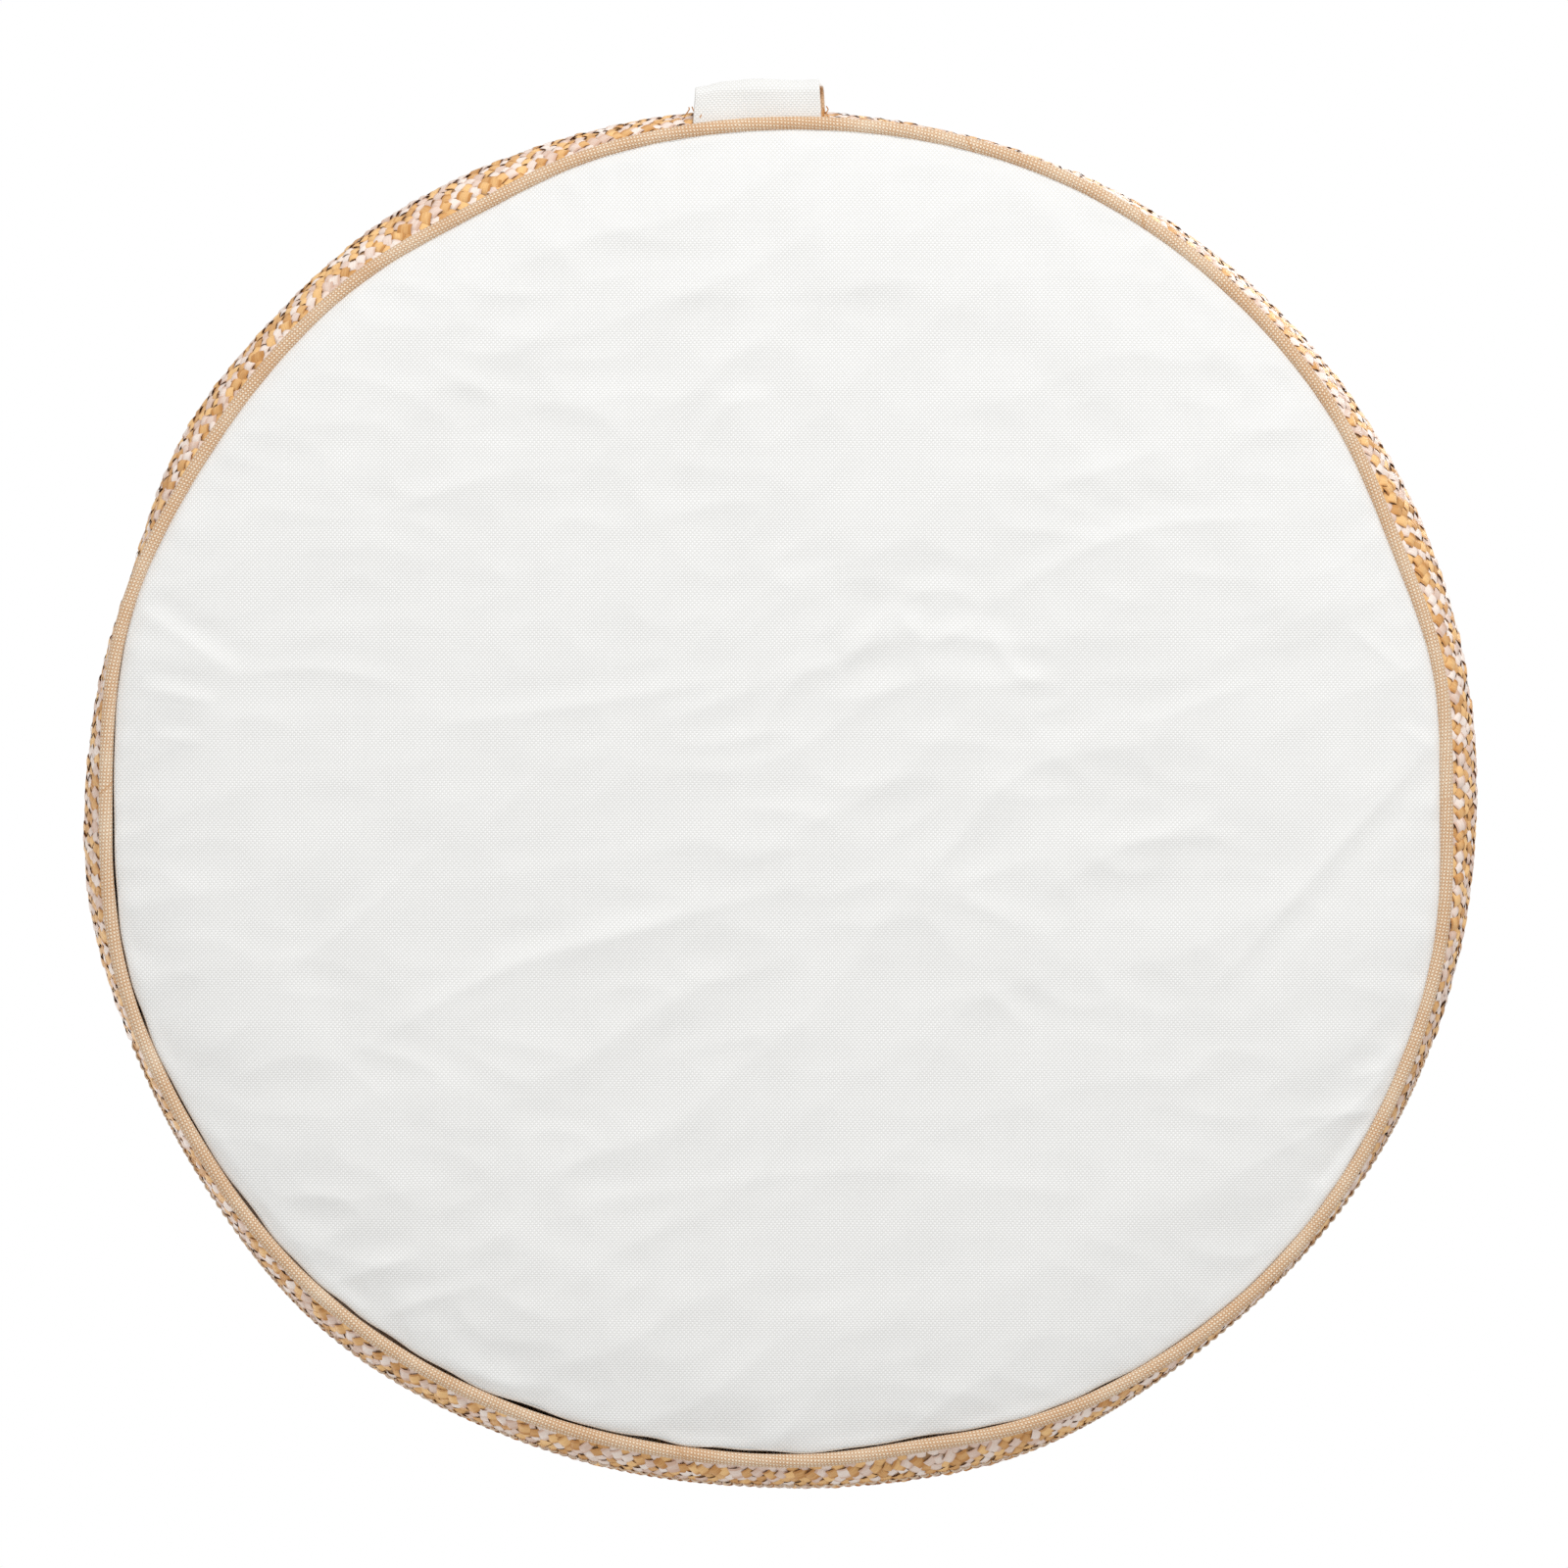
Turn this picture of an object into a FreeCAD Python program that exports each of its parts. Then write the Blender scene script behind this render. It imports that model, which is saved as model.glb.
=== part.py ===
import FreeCAD, Part
import math
import os

# Round boxed seat pad, lying on its canvas underside with the seat facing up.
# Frame: +Z up, origin at the centre of the flat underside, carrying strap at -Y and zip at +Y.
# Lengths are in millimetres and angles in degrees, counted from +X about +Z.

# Outline of the pad
seam_radius = 192.3             # centre line of both pipings
band_swell = 7.3                # widest point of the side band past the seams
lower_seam_z = 7.0              # height of the lower piping's centre line
seam_spacing = 36.0             # from the lower piping's centre line to the upper one's
seat_crown = 9.0                # middle of the seat above the upper piping's centre line
underside_shoulder = 42.3       # rounded edge of the underside, from its flat middle to the seam
seat_shoulder = 67.3            # the same on the seat

# Cloths and seams
canvas = 0.6                    # plain-weave canvas of the underside, pipings and strap
textile = 2.5                   # chunky woven textile of the band and the seat
piping_diameter = 3.9
piping_arc_deg = 15.0           # longest piece of arc in a piping's section
piping_contact = 125.0          # where the band leaves the piping's tube, in degrees up from outwards
seam_allowance = 6.0            # cloth turned inside, past the piping
thread_diameter = 0.5
thread_inset = 2.5              # seam line behind the piping's tube

# Carrying strap
strap_width = 36.8
strap_thickness = 2 * canvas
strap_reach = 6.9               # outer face of the loop past the band
strap_shift = -7.6              # middle of the strap along X
strap_corner = 4.5
strap_tail = 2.4                # strap past the seam line, inside the pad
strap_lift = 0.15               # strap leg above the piping's tube
strap_clearance = 0.1           # around the strap where it passes through the seam

# Zip in the back of the band
zip_middle = 90.0
zip_span = 140.0
zip_gap = 10.0                  # between the folded edges of the two half bands
hem_width = 8.5                 # textile folded behind each half band's edge
hem_thickness = 2.0             # the folded layer, pressed by its stitching
zip_end_gap = 0.3               # along the circumference, in degrees of arc at each end
tape_thickness = 0.5
tape_overlap = 7.5              # tape hidden behind each half band
tape_end_overlap = 2.2          # tape hidden behind the front band, in degrees
coil_width = 1.8
coil_thickness = 2.0
coil_channel = 1.4              # kept open between the two coils for the slider's post
coil_end_gap = 1.5              # from the end of the zip opening to the end of the coils, in degrees
stop_length = 0.8               # along the circumference, in degrees
stop_inset = 1.0                # from the end of the coils to a stop, in degrees
stop_thickness = 0.5
topstitch_offset = 2.0          # from a half band's folded edge to its stitch line

# Slider and pull
slider_length = 4.0             # along the circumference, in degrees
slider_width = 7.6
slider_plate = 0.9
slider_clearance = 0.2          # between the plates and the coils
flange_clearance = 0.3          # between the flanges and the coils' sides
flange_depth = 0.6
post_width = 0.8
post_length = 0.9               # along the circumference, in degrees
stop_clearance = 0.8            # between a parked slider and its stop, in degrees
bar_radius = 0.6
bar_clearance = 0.06
eye_wall = 0.7
eye_lift = 0.25                 # between the pull's eye and the slider's plate
ear_thickness = 0.7
ear_gap = 0.25                  # between the eye and each ear
eye_width = 3.0
ear_length = 2.4
pull_length = 18.0
pull_width = 4.8
pull_thickness = 1.0
pull_neck = 3.5                 # from the bar to where the pull widens
pull_corner = 1.2

# Removable insert
insert_gap = 0.4                # between the cover and the insert's case
insert_case = 0.4
insert_swell = 5.5              # widest point of the insert's side past its corners
insert_corner_gap = 3.4         # from the seam allowances to the insert's corner
insert_corner_lift = 1.6        # from the seam's cloth to the insert's corner
fibre_wrap = 8.0

# Modelling aids
overshoot = 1.0                 # cutting tools run past the faces that they cut
tolerance = 1e-6

# Heights and radii that follow
piping_radius = piping_diameter / 2
band_radius = seam_radius + band_swell
underside_flat_r = seam_radius - underside_shoulder
seat_flat_r = seam_radius - seat_shoulder
upper_seam_z = lower_seam_z + seam_spacing
seat_height = upper_seam_z + seat_crown
middle_z = (lower_seam_z + upper_seam_z) / 2
tube_inner_r = seam_radius - piping_radius
allowance_r = tube_inner_r - seam_allowance
thread_r = thread_diameter / 2
seam_line_r = tube_inner_r - thread_inset
zip_start = zip_middle - zip_span / 2
zip_end = zip_middle + zip_span / 2

os.makedirs("parts", exist_ok=True)


def save(name, shape):
    """Writes one node's solids to its own file."""
    shape.exportStep(f"parts/{name}.step")


def point(r, z):
    """A point of a section drawn in the XZ half plane."""
    return FreeCAD.Vector(r, 0, z)


def section(edges):
    """The face inside closed edges."""
    return Part.Face(Part.Wire(Part.__sortEdges__(edges)))


def turn(face, start=0.0, sweep=360.0):
    """A section turned about Z from a start angle through a sweep."""
    solid = face.revolve(FreeCAD.Vector(0, 0, 0), FreeCAD.Vector(0, 0, 1), sweep).Solids[0]
    solid.rotate(FreeCAD.Vector(0, 0, 0), FreeCAD.Vector(0, 0, 1), start)
    return solid


def two_half_turns(face):
    """A section turned right round Z as two halves joined, so that no round face closes on itself."""
    return turn(face, 0, 180).fuse(turn(face, 180, 180)).Solids[0]


def polygon(corners):
    """Straight edges joining the corners and closing back to the first."""
    pairs = zip(corners, corners[1:] + corners[:1])
    return [Part.LineSegment(point(*a), point(*b)).toShape() for a, b in pairs]


def ring(r_in, r_out, z_low, z_high, start=0.0, sweep=360.0):
    """A flat ring, or a stretch of one, with a rectangular section."""
    corners = [(r_in, z_low), (r_out, z_low), (r_out, z_high), (r_in, z_high)]
    return turn(section(polygon(corners)), start, sweep)


def tube_ring(ring_r, z, tube_r, start=0.0, sweep=360.0):
    """A round tube bent along a circle about Z."""
    torus = Part.makeTorus(ring_r, tube_r, FreeCAD.Vector(0, 0, z), FreeCAD.Vector(0, 0, 1), 0, 360, sweep)
    torus.rotate(FreeCAD.Vector(0, 0, 0), FreeCAD.Vector(0, 0, 1), start)
    return torus


def arc_edge(centre, radius, start_deg, end_deg):
    """An arc in the section plane; angles are counted from +r towards +z."""
    middle = (start_deg + end_deg) / 2
    ends = [
        point(centre[0] + radius * math.cos(math.radians(a)), centre[1] + radius * math.sin(math.radians(a)))
        for a in (start_deg, middle, end_deg)
    ]
    return Part.Arc(*ends).toShape()


# Panels: a flat middle, an arc that leaves it tangentially and a turned-in allowance at the seam

def panel(flat_r, face_z, edge_z, thickness):
    """A round cloth panel. face_z is its outer face in the middle and edge_z its outer face at the seam."""
    side = 1 if edge_z > face_z else -1
    run = tube_inner_r - flat_r
    rise = abs(edge_z - face_z)
    radius = (run ** 2 + rise ** 2) / (2 * rise)
    slope = math.degrees(math.asin(run / radius))
    centre = (flat_r, face_z + side * radius)
    inner_z = face_z + side * thickness
    outer_arc = arc_edge(centre, radius, side * -90, side * (slope - 90))
    inner_arc = arc_edge(centre, radius - thickness, side * -90, side * (slope - 90))
    outer_end = outer_arc.Vertexes[-1].Point
    inner_end = inner_arc.Vertexes[-1].Point
    edges = [
        Part.LineSegment(point(0, face_z), point(flat_r, face_z)).toShape(),
        outer_arc,
        Part.LineSegment(outer_end, inner_end).toShape(),
        inner_arc,
        Part.LineSegment(point(flat_r, inner_z), point(0, inner_z)).toShape(),
        Part.LineSegment(point(0, inner_z), point(0, face_z)).toShape(),
    ]
    z_low, z_high = sorted((edge_z, edge_z + side * thickness))
    return turn(section(edges)).fuse(ring(allowance_r, tube_inner_r, z_low, z_high)).removeSplitter()


underside_edge_z = lower_seam_z - 2 * canvas
seat_edge_z = upper_seam_z + canvas + textile
save("underside_panel", panel(underside_flat_r, 0.0, underside_edge_z, canvas))
save("seat_panel", panel(seat_flat_r, seat_height, seat_edge_z, textile))


# Pipings: a bias strip folded round a cord, with its two layers sewn into the seam as a flange

def arc_run(centre, radius, start, end):
    """Edges of an arc in equal short pieces, so that a thin tube keeps its roundness."""
    count = math.ceil((end - start) / piping_arc_deg)
    stops = [start + (end - start) * k / count for k in range(count + 1)]
    return [arc_edge(centre, radius, a, b) for a, b in zip(stops, stops[1:])]


def piping(level, seam_z):
    """One piping's cover and cord."""
    centre = (seam_radius, seam_z)
    cord_r = piping_radius - canvas
    flange_deg = math.degrees(math.asin(canvas / piping_radius))
    rounds = arc_run(centre, piping_radius, flange_deg - 180, 180 - flange_deg)
    flange = [
        Part.LineSegment(rounds[-1].Vertexes[-1].Point, point(allowance_r, seam_z + canvas)).toShape(),
        Part.LineSegment(point(allowance_r, seam_z + canvas), point(allowance_r, seam_z - canvas)).toShape(),
        Part.LineSegment(point(allowance_r, seam_z - canvas), rounds[0].Vertexes[0].Point).toShape(),
    ]
    cord = section(arc_run(centre, cord_r, 0, 360))
    cover = section(rounds + flange).cut(cord)
    save(f"{level}_piping_cover", two_half_turns(cover.Faces[0]))
    save(f"{level}_piping_cord", two_half_turns(cord))


piping("lower", lower_seam_z)
piping("upper", upper_seam_z)


# Side band: a bulging wall between the pipings, whose section is a stretch of a round tube

band_foot_r = seam_radius + piping_radius * math.cos(math.radians(piping_contact))
band_foot_z = lower_seam_z + piping_radius * math.sin(math.radians(piping_contact))
half_chord = middle_z - band_foot_z
bulge = band_radius - band_foot_r
band_arc_r = (half_chord ** 2 + bulge ** 2) / (2 * bulge)
band_arc_centre = (band_radius - band_arc_r, middle_z)
foot_deg = math.degrees(math.asin(half_chord / band_arc_r))


def band_layer(outer_depth, thickness, low_deg, high_deg, start, sweep):
    """A layer that follows the bulge, outer_depth behind its outer face, between two angles of its arc."""
    outer_r = band_arc_r - outer_depth
    outer = arc_edge(band_arc_centre, outer_r, low_deg, high_deg)
    inner = arc_edge(band_arc_centre, outer_r - thickness, low_deg, high_deg)
    joins = [
        Part.LineSegment(outer.Vertexes[i].Point, inner.Vertexes[i].Point).toShape()
        for i in (0, 1)
    ]
    return turn(section([outer, inner] + joins), start, sweep)


def band_wall(low_deg, high_deg, start, sweep):
    """The band's textile with the allowances at the seams that it reaches, cut clear of the pipings."""
    wall = band_layer(0, textile, low_deg, high_deg, start, sweep)
    if low_deg == -foot_deg:
        z_low = lower_seam_z + canvas
        wall = wall.fuse(ring(allowance_r, band_foot_r, z_low, z_low + textile, start, sweep))
    if high_deg == foot_deg:
        z_high = upper_seam_z - canvas
        wall = wall.fuse(ring(allowance_r, band_foot_r, z_high - textile, z_high, start, sweep))
    for seam_z in (lower_seam_z, upper_seam_z):
        wall = wall.cut(tube_ring(seam_radius, seam_z, piping_radius))
    return wall.removeSplitter()


# Strap: a canvas band sewn into the lower seam, passing outside the band into the upper seam

def slab(width, y_near, y_far, z_low, z_high, corner=0.0):
    """A block centred on the strap, its far edges along X rounded by corner."""
    block = Part.makeBox(
        width, y_far - y_near, z_high - z_low,
        FreeCAD.Vector(strap_shift - width / 2, -y_far, z_low),
    )
    if corner > 0:
        far_edges = [
            e for e in block.Edges
            if abs(e.BoundBox.XLength - width) < tolerance and abs(e.CenterOfMass.y + y_far) < tolerance
        ]
        block = block.makeFillet(corner, far_edges)
    return block


strap_tail_r = seam_line_r - strap_tail
strap_outer_r = band_radius + strap_reach
strap_low_z = lower_seam_z + piping_radius + strap_lift
strap_high_z = upper_seam_z - piping_radius - strap_lift
strap_outline = slab(strap_width, strap_tail_r, strap_outer_r, strap_low_z, strap_high_z, strap_corner)
strap_inside = slab(
    strap_width + 2 * overshoot, strap_tail_r - overshoot, strap_outer_r - strap_thickness,
    strap_low_z + strap_thickness, strap_high_z - strap_thickness, strap_corner - strap_thickness,
)
save("strap_loop", strap_outline.cut(strap_inside))

front_start = zip_end
front_sweep = 360.0 - zip_span
front_band = band_wall(-foot_deg, foot_deg, front_start, front_sweep)
notch_width = strap_width + 2 * strap_clearance
leg_room = strap_thickness + strap_clearance
notch_top_z = upper_seam_z - canvas
notches = [
    (lower_seam_z + canvas, strap_low_z + leg_room),
    (strap_high_z - leg_room, notch_top_z),
]
for z_low, z_high in notches:
    front_band = front_band.cut(slab(notch_width, allowance_r - overshoot, band_radius, z_low, z_high))
save("front_band", front_band)


# Zip: two half bands with folded edges, two tapes behind them and two coils on the tapes' edges

opening_start = zip_start + zip_end_gap
opening_sweep = zip_span - 2 * zip_end_gap
edge_deg = math.degrees(math.asin(zip_gap / 2 / band_arc_r))
hem_deg = edge_deg + math.degrees(hem_width / (band_arc_r - textile))
for level, side in (("lower", -1), ("upper", 1)):
    wall = band_wall(*sorted((side * edge_deg, side * foot_deg)), opening_start, opening_sweep)
    hem = band_layer(
        textile, hem_thickness, *sorted((side * edge_deg, side * hem_deg)), opening_start, opening_sweep,
    )
    save(f"zip_band_{level}", wall.fuse(hem).removeSplitter())

tape_start = zip_start - tape_end_overlap
tape_sweep = zip_span + 2 * tape_end_overlap
coil_start = zip_start + coil_end_gap
coil_sweep = zip_span - 2 * coil_end_gap
coil_inner_z = coil_channel / 2
coil_outer_z = coil_inner_z + coil_width
tape_depth = textile + hem_thickness
coil_mid_r = band_radius - tape_depth - tape_thickness / 2
coil_in_r = coil_mid_r - coil_thickness / 2
coil_out_r = coil_mid_r + coil_thickness / 2
tape_in_arc_r = band_arc_r - tape_depth - tape_thickness
tape_near_deg = math.degrees(math.asin(coil_outer_z / tape_in_arc_r))
tape_far_deg = edge_deg + math.degrees(tape_overlap / tape_in_arc_r)
for level, side in (("lower", -1), ("upper", 1)):
    tape_degs = sorted((side * tape_near_deg, side * tape_far_deg))
    save(f"zip_tape_{level}", band_layer(tape_depth, tape_thickness, *tape_degs, tape_start, tape_sweep))
    z_low, z_high = sorted((middle_z + side * coil_inner_z, middle_z + side * coil_outer_z))
    save(f"zip_coil_{level}", ring(coil_in_r, coil_out_r, z_low, z_high, coil_start, coil_sweep))

first_stop = coil_start + stop_inset
last_stop = coil_start + coil_sweep - stop_inset - stop_length
stops = [
    ring(
        coil_out_r, coil_out_r + stop_thickness,
        middle_z - coil_outer_z, middle_z + coil_outer_z, start, stop_length,
    )
    for start in (first_stop, last_stop)
]
save("zip_end_stops", Part.makeCompound(stops))

topstitches = []
for side in (-1, 1):
    stitch_z = middle_z + side * (zip_gap / 2 + topstitch_offset)
    tilt = math.asin((stitch_z - middle_z) / band_arc_r)
    stitch_arc_r = band_arc_r + thread_r
    topstitches.append(tube_ring(
        band_arc_centre[0] + stitch_arc_r * math.cos(tilt), middle_z + stitch_arc_r * math.sin(tilt),
        thread_r, opening_start, opening_sweep,
    ))
save("zip_topstitching", Part.makeCompound(topstitches))


# Slider: two plates joined by a post, flanges beside the coils, ears and a bar for the pull

slider_rest = last_stop - stop_clearance - slider_length / 2
slider_open = first_stop + stop_length + stop_clearance + slider_length / 2
plate_in_r = coil_out_r + slider_clearance
plate_out_r = plate_in_r + slider_plate
back_out_r = coil_in_r - slider_clearance
back_in_r = back_out_r - slider_plate
slider_start = slider_rest - slider_length / 2
flange_near_z = coil_outer_z + flange_clearance


def slider_piece(r_in, r_out, z_low, z_high, length=slider_length):
    """A piece of the slider about its middle, with heights counted from the zip's middle."""
    return ring(r_in, r_out, middle_z + z_low, middle_z + z_high, slider_rest - length / 2, length)


slider = slider_piece(plate_in_r, plate_out_r, -slider_width / 2, slider_width / 2)
slider = slider.fuse(slider_piece(back_in_r, back_out_r, -slider_width / 2, slider_width / 2))
slider = slider.fuse(slider_piece(back_out_r, plate_in_r, -post_width / 2, post_width / 2, post_length))
for side in (-1, 1):
    z_low, z_high = sorted((side * flange_near_z, side * slider_width / 2))
    slider = slider.fuse(slider_piece(plate_in_r - flange_depth, plate_in_r, z_low, z_high))

eye_radius = bar_radius + bar_clearance + eye_wall
bar_r = plate_out_r + eye_lift + eye_radius
ear_near_z = eye_width / 2 + ear_gap
ear_far_z = ear_near_z + ear_thickness


def local(shape):
    """Moves a shape built at angle 0, with the bar's axis on +X, to the slider's rest angle."""
    shape.rotate(FreeCAD.Vector(0, 0, 0), FreeCAD.Vector(0, 0, 1), slider_rest)
    return shape


ear_root_r = plate_out_r - slider_plate / 2
for side in (-1, 1):
    ear_z = middle_z + (ear_near_z if side > 0 else -ear_far_z)
    ear_foot = Part.makeBox(
        bar_r - ear_root_r, ear_length, ear_thickness,
        FreeCAD.Vector(ear_root_r, -ear_length / 2, ear_z),
    )
    ear_top = Part.makeCylinder(ear_length / 2, ear_thickness, FreeCAD.Vector(bar_r, 0, ear_z))
    slider = slider.fuse(local(ear_foot.fuse(ear_top)))
bar = Part.makeCylinder(bar_radius, 2 * ear_far_z, FreeCAD.Vector(bar_r, 0, middle_z - ear_far_z))
save("zip_slider", slider.fuse(local(bar)).removeSplitter())

# The pull lies along the closed zip, towards the open end, which is -Y at angle 0
eye = Part.makeCylinder(eye_radius, eye_width, FreeCAD.Vector(bar_r, 0, middle_z - eye_width / 2))
neck = Part.makeBox(
    pull_thickness, pull_neck, eye_width,
    FreeCAD.Vector(bar_r - pull_thickness / 2, -pull_neck, middle_z - eye_width / 2),
)
blade_length = pull_length - pull_neck
blade = Part.makeBox(
    pull_thickness, blade_length, pull_width,
    FreeCAD.Vector(bar_r - pull_thickness / 2, -pull_length, middle_z - pull_width / 2),
)
blade_corners = [e for e in blade.Edges if abs(e.BoundBox.XLength - pull_thickness) < tolerance]
blade = blade.makeFillet(pull_corner, blade_corners)
hole_length = eye_width + 2 * overshoot
hole = Part.makeCylinder(
    bar_radius + bar_clearance, hole_length, FreeCAD.Vector(bar_r, 0, middle_z - hole_length / 2),
)
pull = eye.fuse(neck).fuse(blade).cut(hole)
save("zip_pull", local(pull.removeSplitter()))


# Seam threads: one line on the inner face of each stack of allowances, clear over the strap's tails

thread_lift = max(canvas + textile, piping_radius + strap_lift + strap_thickness) + thread_r
save("lower_seam_thread", tube_ring(seam_line_r, lower_seam_z + thread_lift, thread_r))
save("upper_seam_thread", tube_ring(seam_line_r, upper_seam_z - thread_lift, thread_r))


# Insert: a foam disc in a fibre wrap, in a light cotton case

def insert_body(depth):
    """The insert's outer form, moved inwards by depth all round."""
    corner_r = allowance_r - insert_corner_gap - depth
    low_z = canvas + insert_gap + depth
    high_z = seat_height - textile - insert_gap - depth
    low_corner_z = underside_edge_z + depth
    high_corner_z = seat_edge_z - textile - insert_corner_lift - depth
    side = Part.Arc(
        point(corner_r, low_corner_z),
        point(corner_r + insert_swell, (low_corner_z + high_corner_z) / 2),
        point(corner_r, high_corner_z),
    ).toShape()
    route = [
        (corner_r, high_corner_z), (seat_flat_r, high_z), (0, high_z),
        (0, low_z), (underside_flat_r, low_z), (corner_r, low_corner_z),
    ]
    lines = [
        Part.LineSegment(point(*a), point(*b)).toShape()
        for a, b in zip(route, route[1:])
    ]
    return turn(section(lines + [side]))


outside = insert_body(0.0)
filling = insert_body(insert_case)
foam = insert_body(insert_case + fibre_wrap)
save("insert_case", outside.cut(filling))
save("fibre_wrap", filling.cut(foam))
save("foam_core", foam)

pull_x = bar_r * math.cos(math.radians(slider_rest))
pull_y = bar_r * math.sin(math.radians(slider_rest))
print(f"pull axis at {pull_x:.4f}, {pull_y:.4f}, {middle_z:.2f}")
print(f"slider travel {slider_rest - slider_open:.2f} degrees")
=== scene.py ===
import math

import bpy
import numpy as np
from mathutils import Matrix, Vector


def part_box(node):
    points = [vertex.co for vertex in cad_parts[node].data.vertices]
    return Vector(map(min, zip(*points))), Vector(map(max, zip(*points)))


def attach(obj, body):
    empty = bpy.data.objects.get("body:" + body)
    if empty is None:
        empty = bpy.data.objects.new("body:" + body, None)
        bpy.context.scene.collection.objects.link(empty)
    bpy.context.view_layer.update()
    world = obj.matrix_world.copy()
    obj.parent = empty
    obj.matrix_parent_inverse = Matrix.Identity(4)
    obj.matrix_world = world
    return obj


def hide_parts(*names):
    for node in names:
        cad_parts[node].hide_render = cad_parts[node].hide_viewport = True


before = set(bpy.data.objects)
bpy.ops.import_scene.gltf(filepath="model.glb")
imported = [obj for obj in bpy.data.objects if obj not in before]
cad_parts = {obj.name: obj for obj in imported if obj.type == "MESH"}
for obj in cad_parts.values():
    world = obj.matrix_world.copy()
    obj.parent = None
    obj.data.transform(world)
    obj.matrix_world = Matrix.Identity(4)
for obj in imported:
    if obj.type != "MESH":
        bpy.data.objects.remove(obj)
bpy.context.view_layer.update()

# Camera, floor and lights. The camera stands square under the canvas side, with the carrying loop at
# the top of its view. A view from below looks through the pale floor, and the light from below comes
# through with it. Seen from above the floor is solid, and carries the pad and its shadow.

view_middle_y = -0.0042
view_width = 0.4507
view_plane_z = 0.025
view_distance = 2.5
film_width = 36.0

camera_data = bpy.data.cameras.new("under_camera")
camera_data.sensor_width = film_width
camera_data.lens = film_width * (view_distance + view_plane_z) / view_width
camera_data.clip_end = 20.0
camera = bpy.data.objects.new("under_camera", camera_data)
camera.location = (0.0, view_middle_y, -view_distance)
camera.rotation_euler = (math.pi, 0.0, 0.0)
bpy.context.collection.objects.link(camera)
bpy.context.scene.camera = camera
bpy.context.scene.view_settings.view_transform = "Standard"


def soft_light(name, place, size, watts):
    """A square area light at a place, turned so that it shines at the middle of the floor."""
    data = bpy.data.lights.new(name, "AREA")
    data.size = size
    data.energy = watts
    lamp = bpy.data.objects.new(name, data)
    lamp.location = place
    yaw = math.atan2(place[1], place[0]) + math.pi / 2
    tilt = math.acos(place[2] / np.linalg.norm(place))
    lamp.rotation_euler = (tilt, 0.0, yaw)
    bpy.context.collection.objects.link(lamp)


soft_light("key_below", (0.25, -1.10, -1.15), 0.45, 12.2)
soft_light("key_above", (0.9, -1.0, 1.4), 0.9, 11.0)
soft_light("fill_above", (-1.1, 0.8, 1.1), 1.4, 7.0)

# The seen backdrop goes from pale grey at eye level to white above; the light it casts is even.
world = bpy.data.worlds.new("studio")
bpy.context.scene.world = world
world.use_nodes = True
sky = world.node_tree.nodes
sky.clear()
seen = sky.new("ShaderNodeBackground")
seen.inputs["Color"].default_value = (1.0, 1.0, 1.0, 1.0)
way = sky.new("ShaderNodeTexCoord")
way_parts = sky.new("ShaderNodeSeparateXYZ")
fade = sky.new("ShaderNodeMapRange")
fade.interpolation_type = "SMOOTHSTEP"
for socket, value in (("From Min", 0.0), ("From Max", 0.75), ("To Min", 0.70), ("To Max", 1.0)):
    fade.inputs[socket].default_value = value
world.node_tree.links.new(way.outputs["Generated"], way_parts.inputs[0])
world.node_tree.links.new(way_parts.outputs["Z"], fade.inputs["Value"])
world.node_tree.links.new(fade.outputs[0], seen.inputs["Strength"])
cast = sky.new("ShaderNodeBackground")
cast.inputs["Color"].default_value = (1.0, 1.0, 0.995, 1.0)
cast.inputs["Strength"].default_value = 0.68
ray = sky.new("ShaderNodeLightPath")
pick = sky.new("ShaderNodeMixShader")
out = sky.new("ShaderNodeOutputWorld")
world.node_tree.links.new(ray.outputs["Is Camera Ray"], pick.inputs["Fac"])
world.node_tree.links.new(cast.outputs[0], pick.inputs[1])
world.node_tree.links.new(seen.outputs[0], pick.inputs[2])
world.node_tree.links.new(pick.outputs[0], out.inputs["Surface"])

floor_half = 3.0
floor_mesh = bpy.data.meshes.new("floor")
floor_corners = [(x * floor_half, y * floor_half, 0) for x, y in ((-1, -1), (1, -1), (1, 1), (-1, 1))]
floor_mesh.from_pydata(floor_corners, [], [(0, 1, 2, 3)])
floor = bpy.data.objects.new("floor", floor_mesh)
bpy.context.collection.objects.link(floor)
floor_paint = bpy.data.materials.new("floor_paint")
floor_paint.use_nodes = True
floor_nodes = floor_paint.node_tree.nodes
floor_nodes.clear()
floor_colour = floor_nodes.new("ShaderNodeBsdfDiffuse")
floor_colour.inputs["Color"].default_value = (0.86, 0.855, 0.845, 1.0)
clear = floor_nodes.new("ShaderNodeBsdfTransparent")
side = floor_nodes.new("ShaderNodeNewGeometry")
floor_ray = floor_nodes.new("ShaderNodeLightPath")
from_above = floor_nodes.new("ShaderNodeMath")
from_above.operation = "SUBTRACT"
from_above.use_clamp = True
looked_through = floor_nodes.new("ShaderNodeMath")
looked_through.operation = "ADD"
solid_later = floor_nodes.new("ShaderNodeMath")
solid_later.operation = "LESS_THAN"
solid_later.inputs[1].default_value = 0.5
solid = floor_nodes.new("ShaderNodeMath")
solid.operation = "MAXIMUM"
floor_pick = floor_nodes.new("ShaderNodeMixShader")
floor_out = floor_nodes.new("ShaderNodeOutputMaterial")
floor_links = floor_paint.node_tree.links
floor_links.new(floor_ray.outputs["Is Camera Ray"], from_above.inputs[0])
floor_links.new(side.outputs["Backfacing"], from_above.inputs[1])
floor_links.new(floor_ray.outputs["Is Camera Ray"], looked_through.inputs[0])
floor_links.new(floor_ray.outputs["Transparent Depth"], looked_through.inputs[1])
floor_links.new(looked_through.outputs[0], solid_later.inputs[0])
floor_links.new(from_above.outputs[0], solid.inputs[0])
floor_links.new(solid_later.outputs[0], solid.inputs[1])
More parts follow.
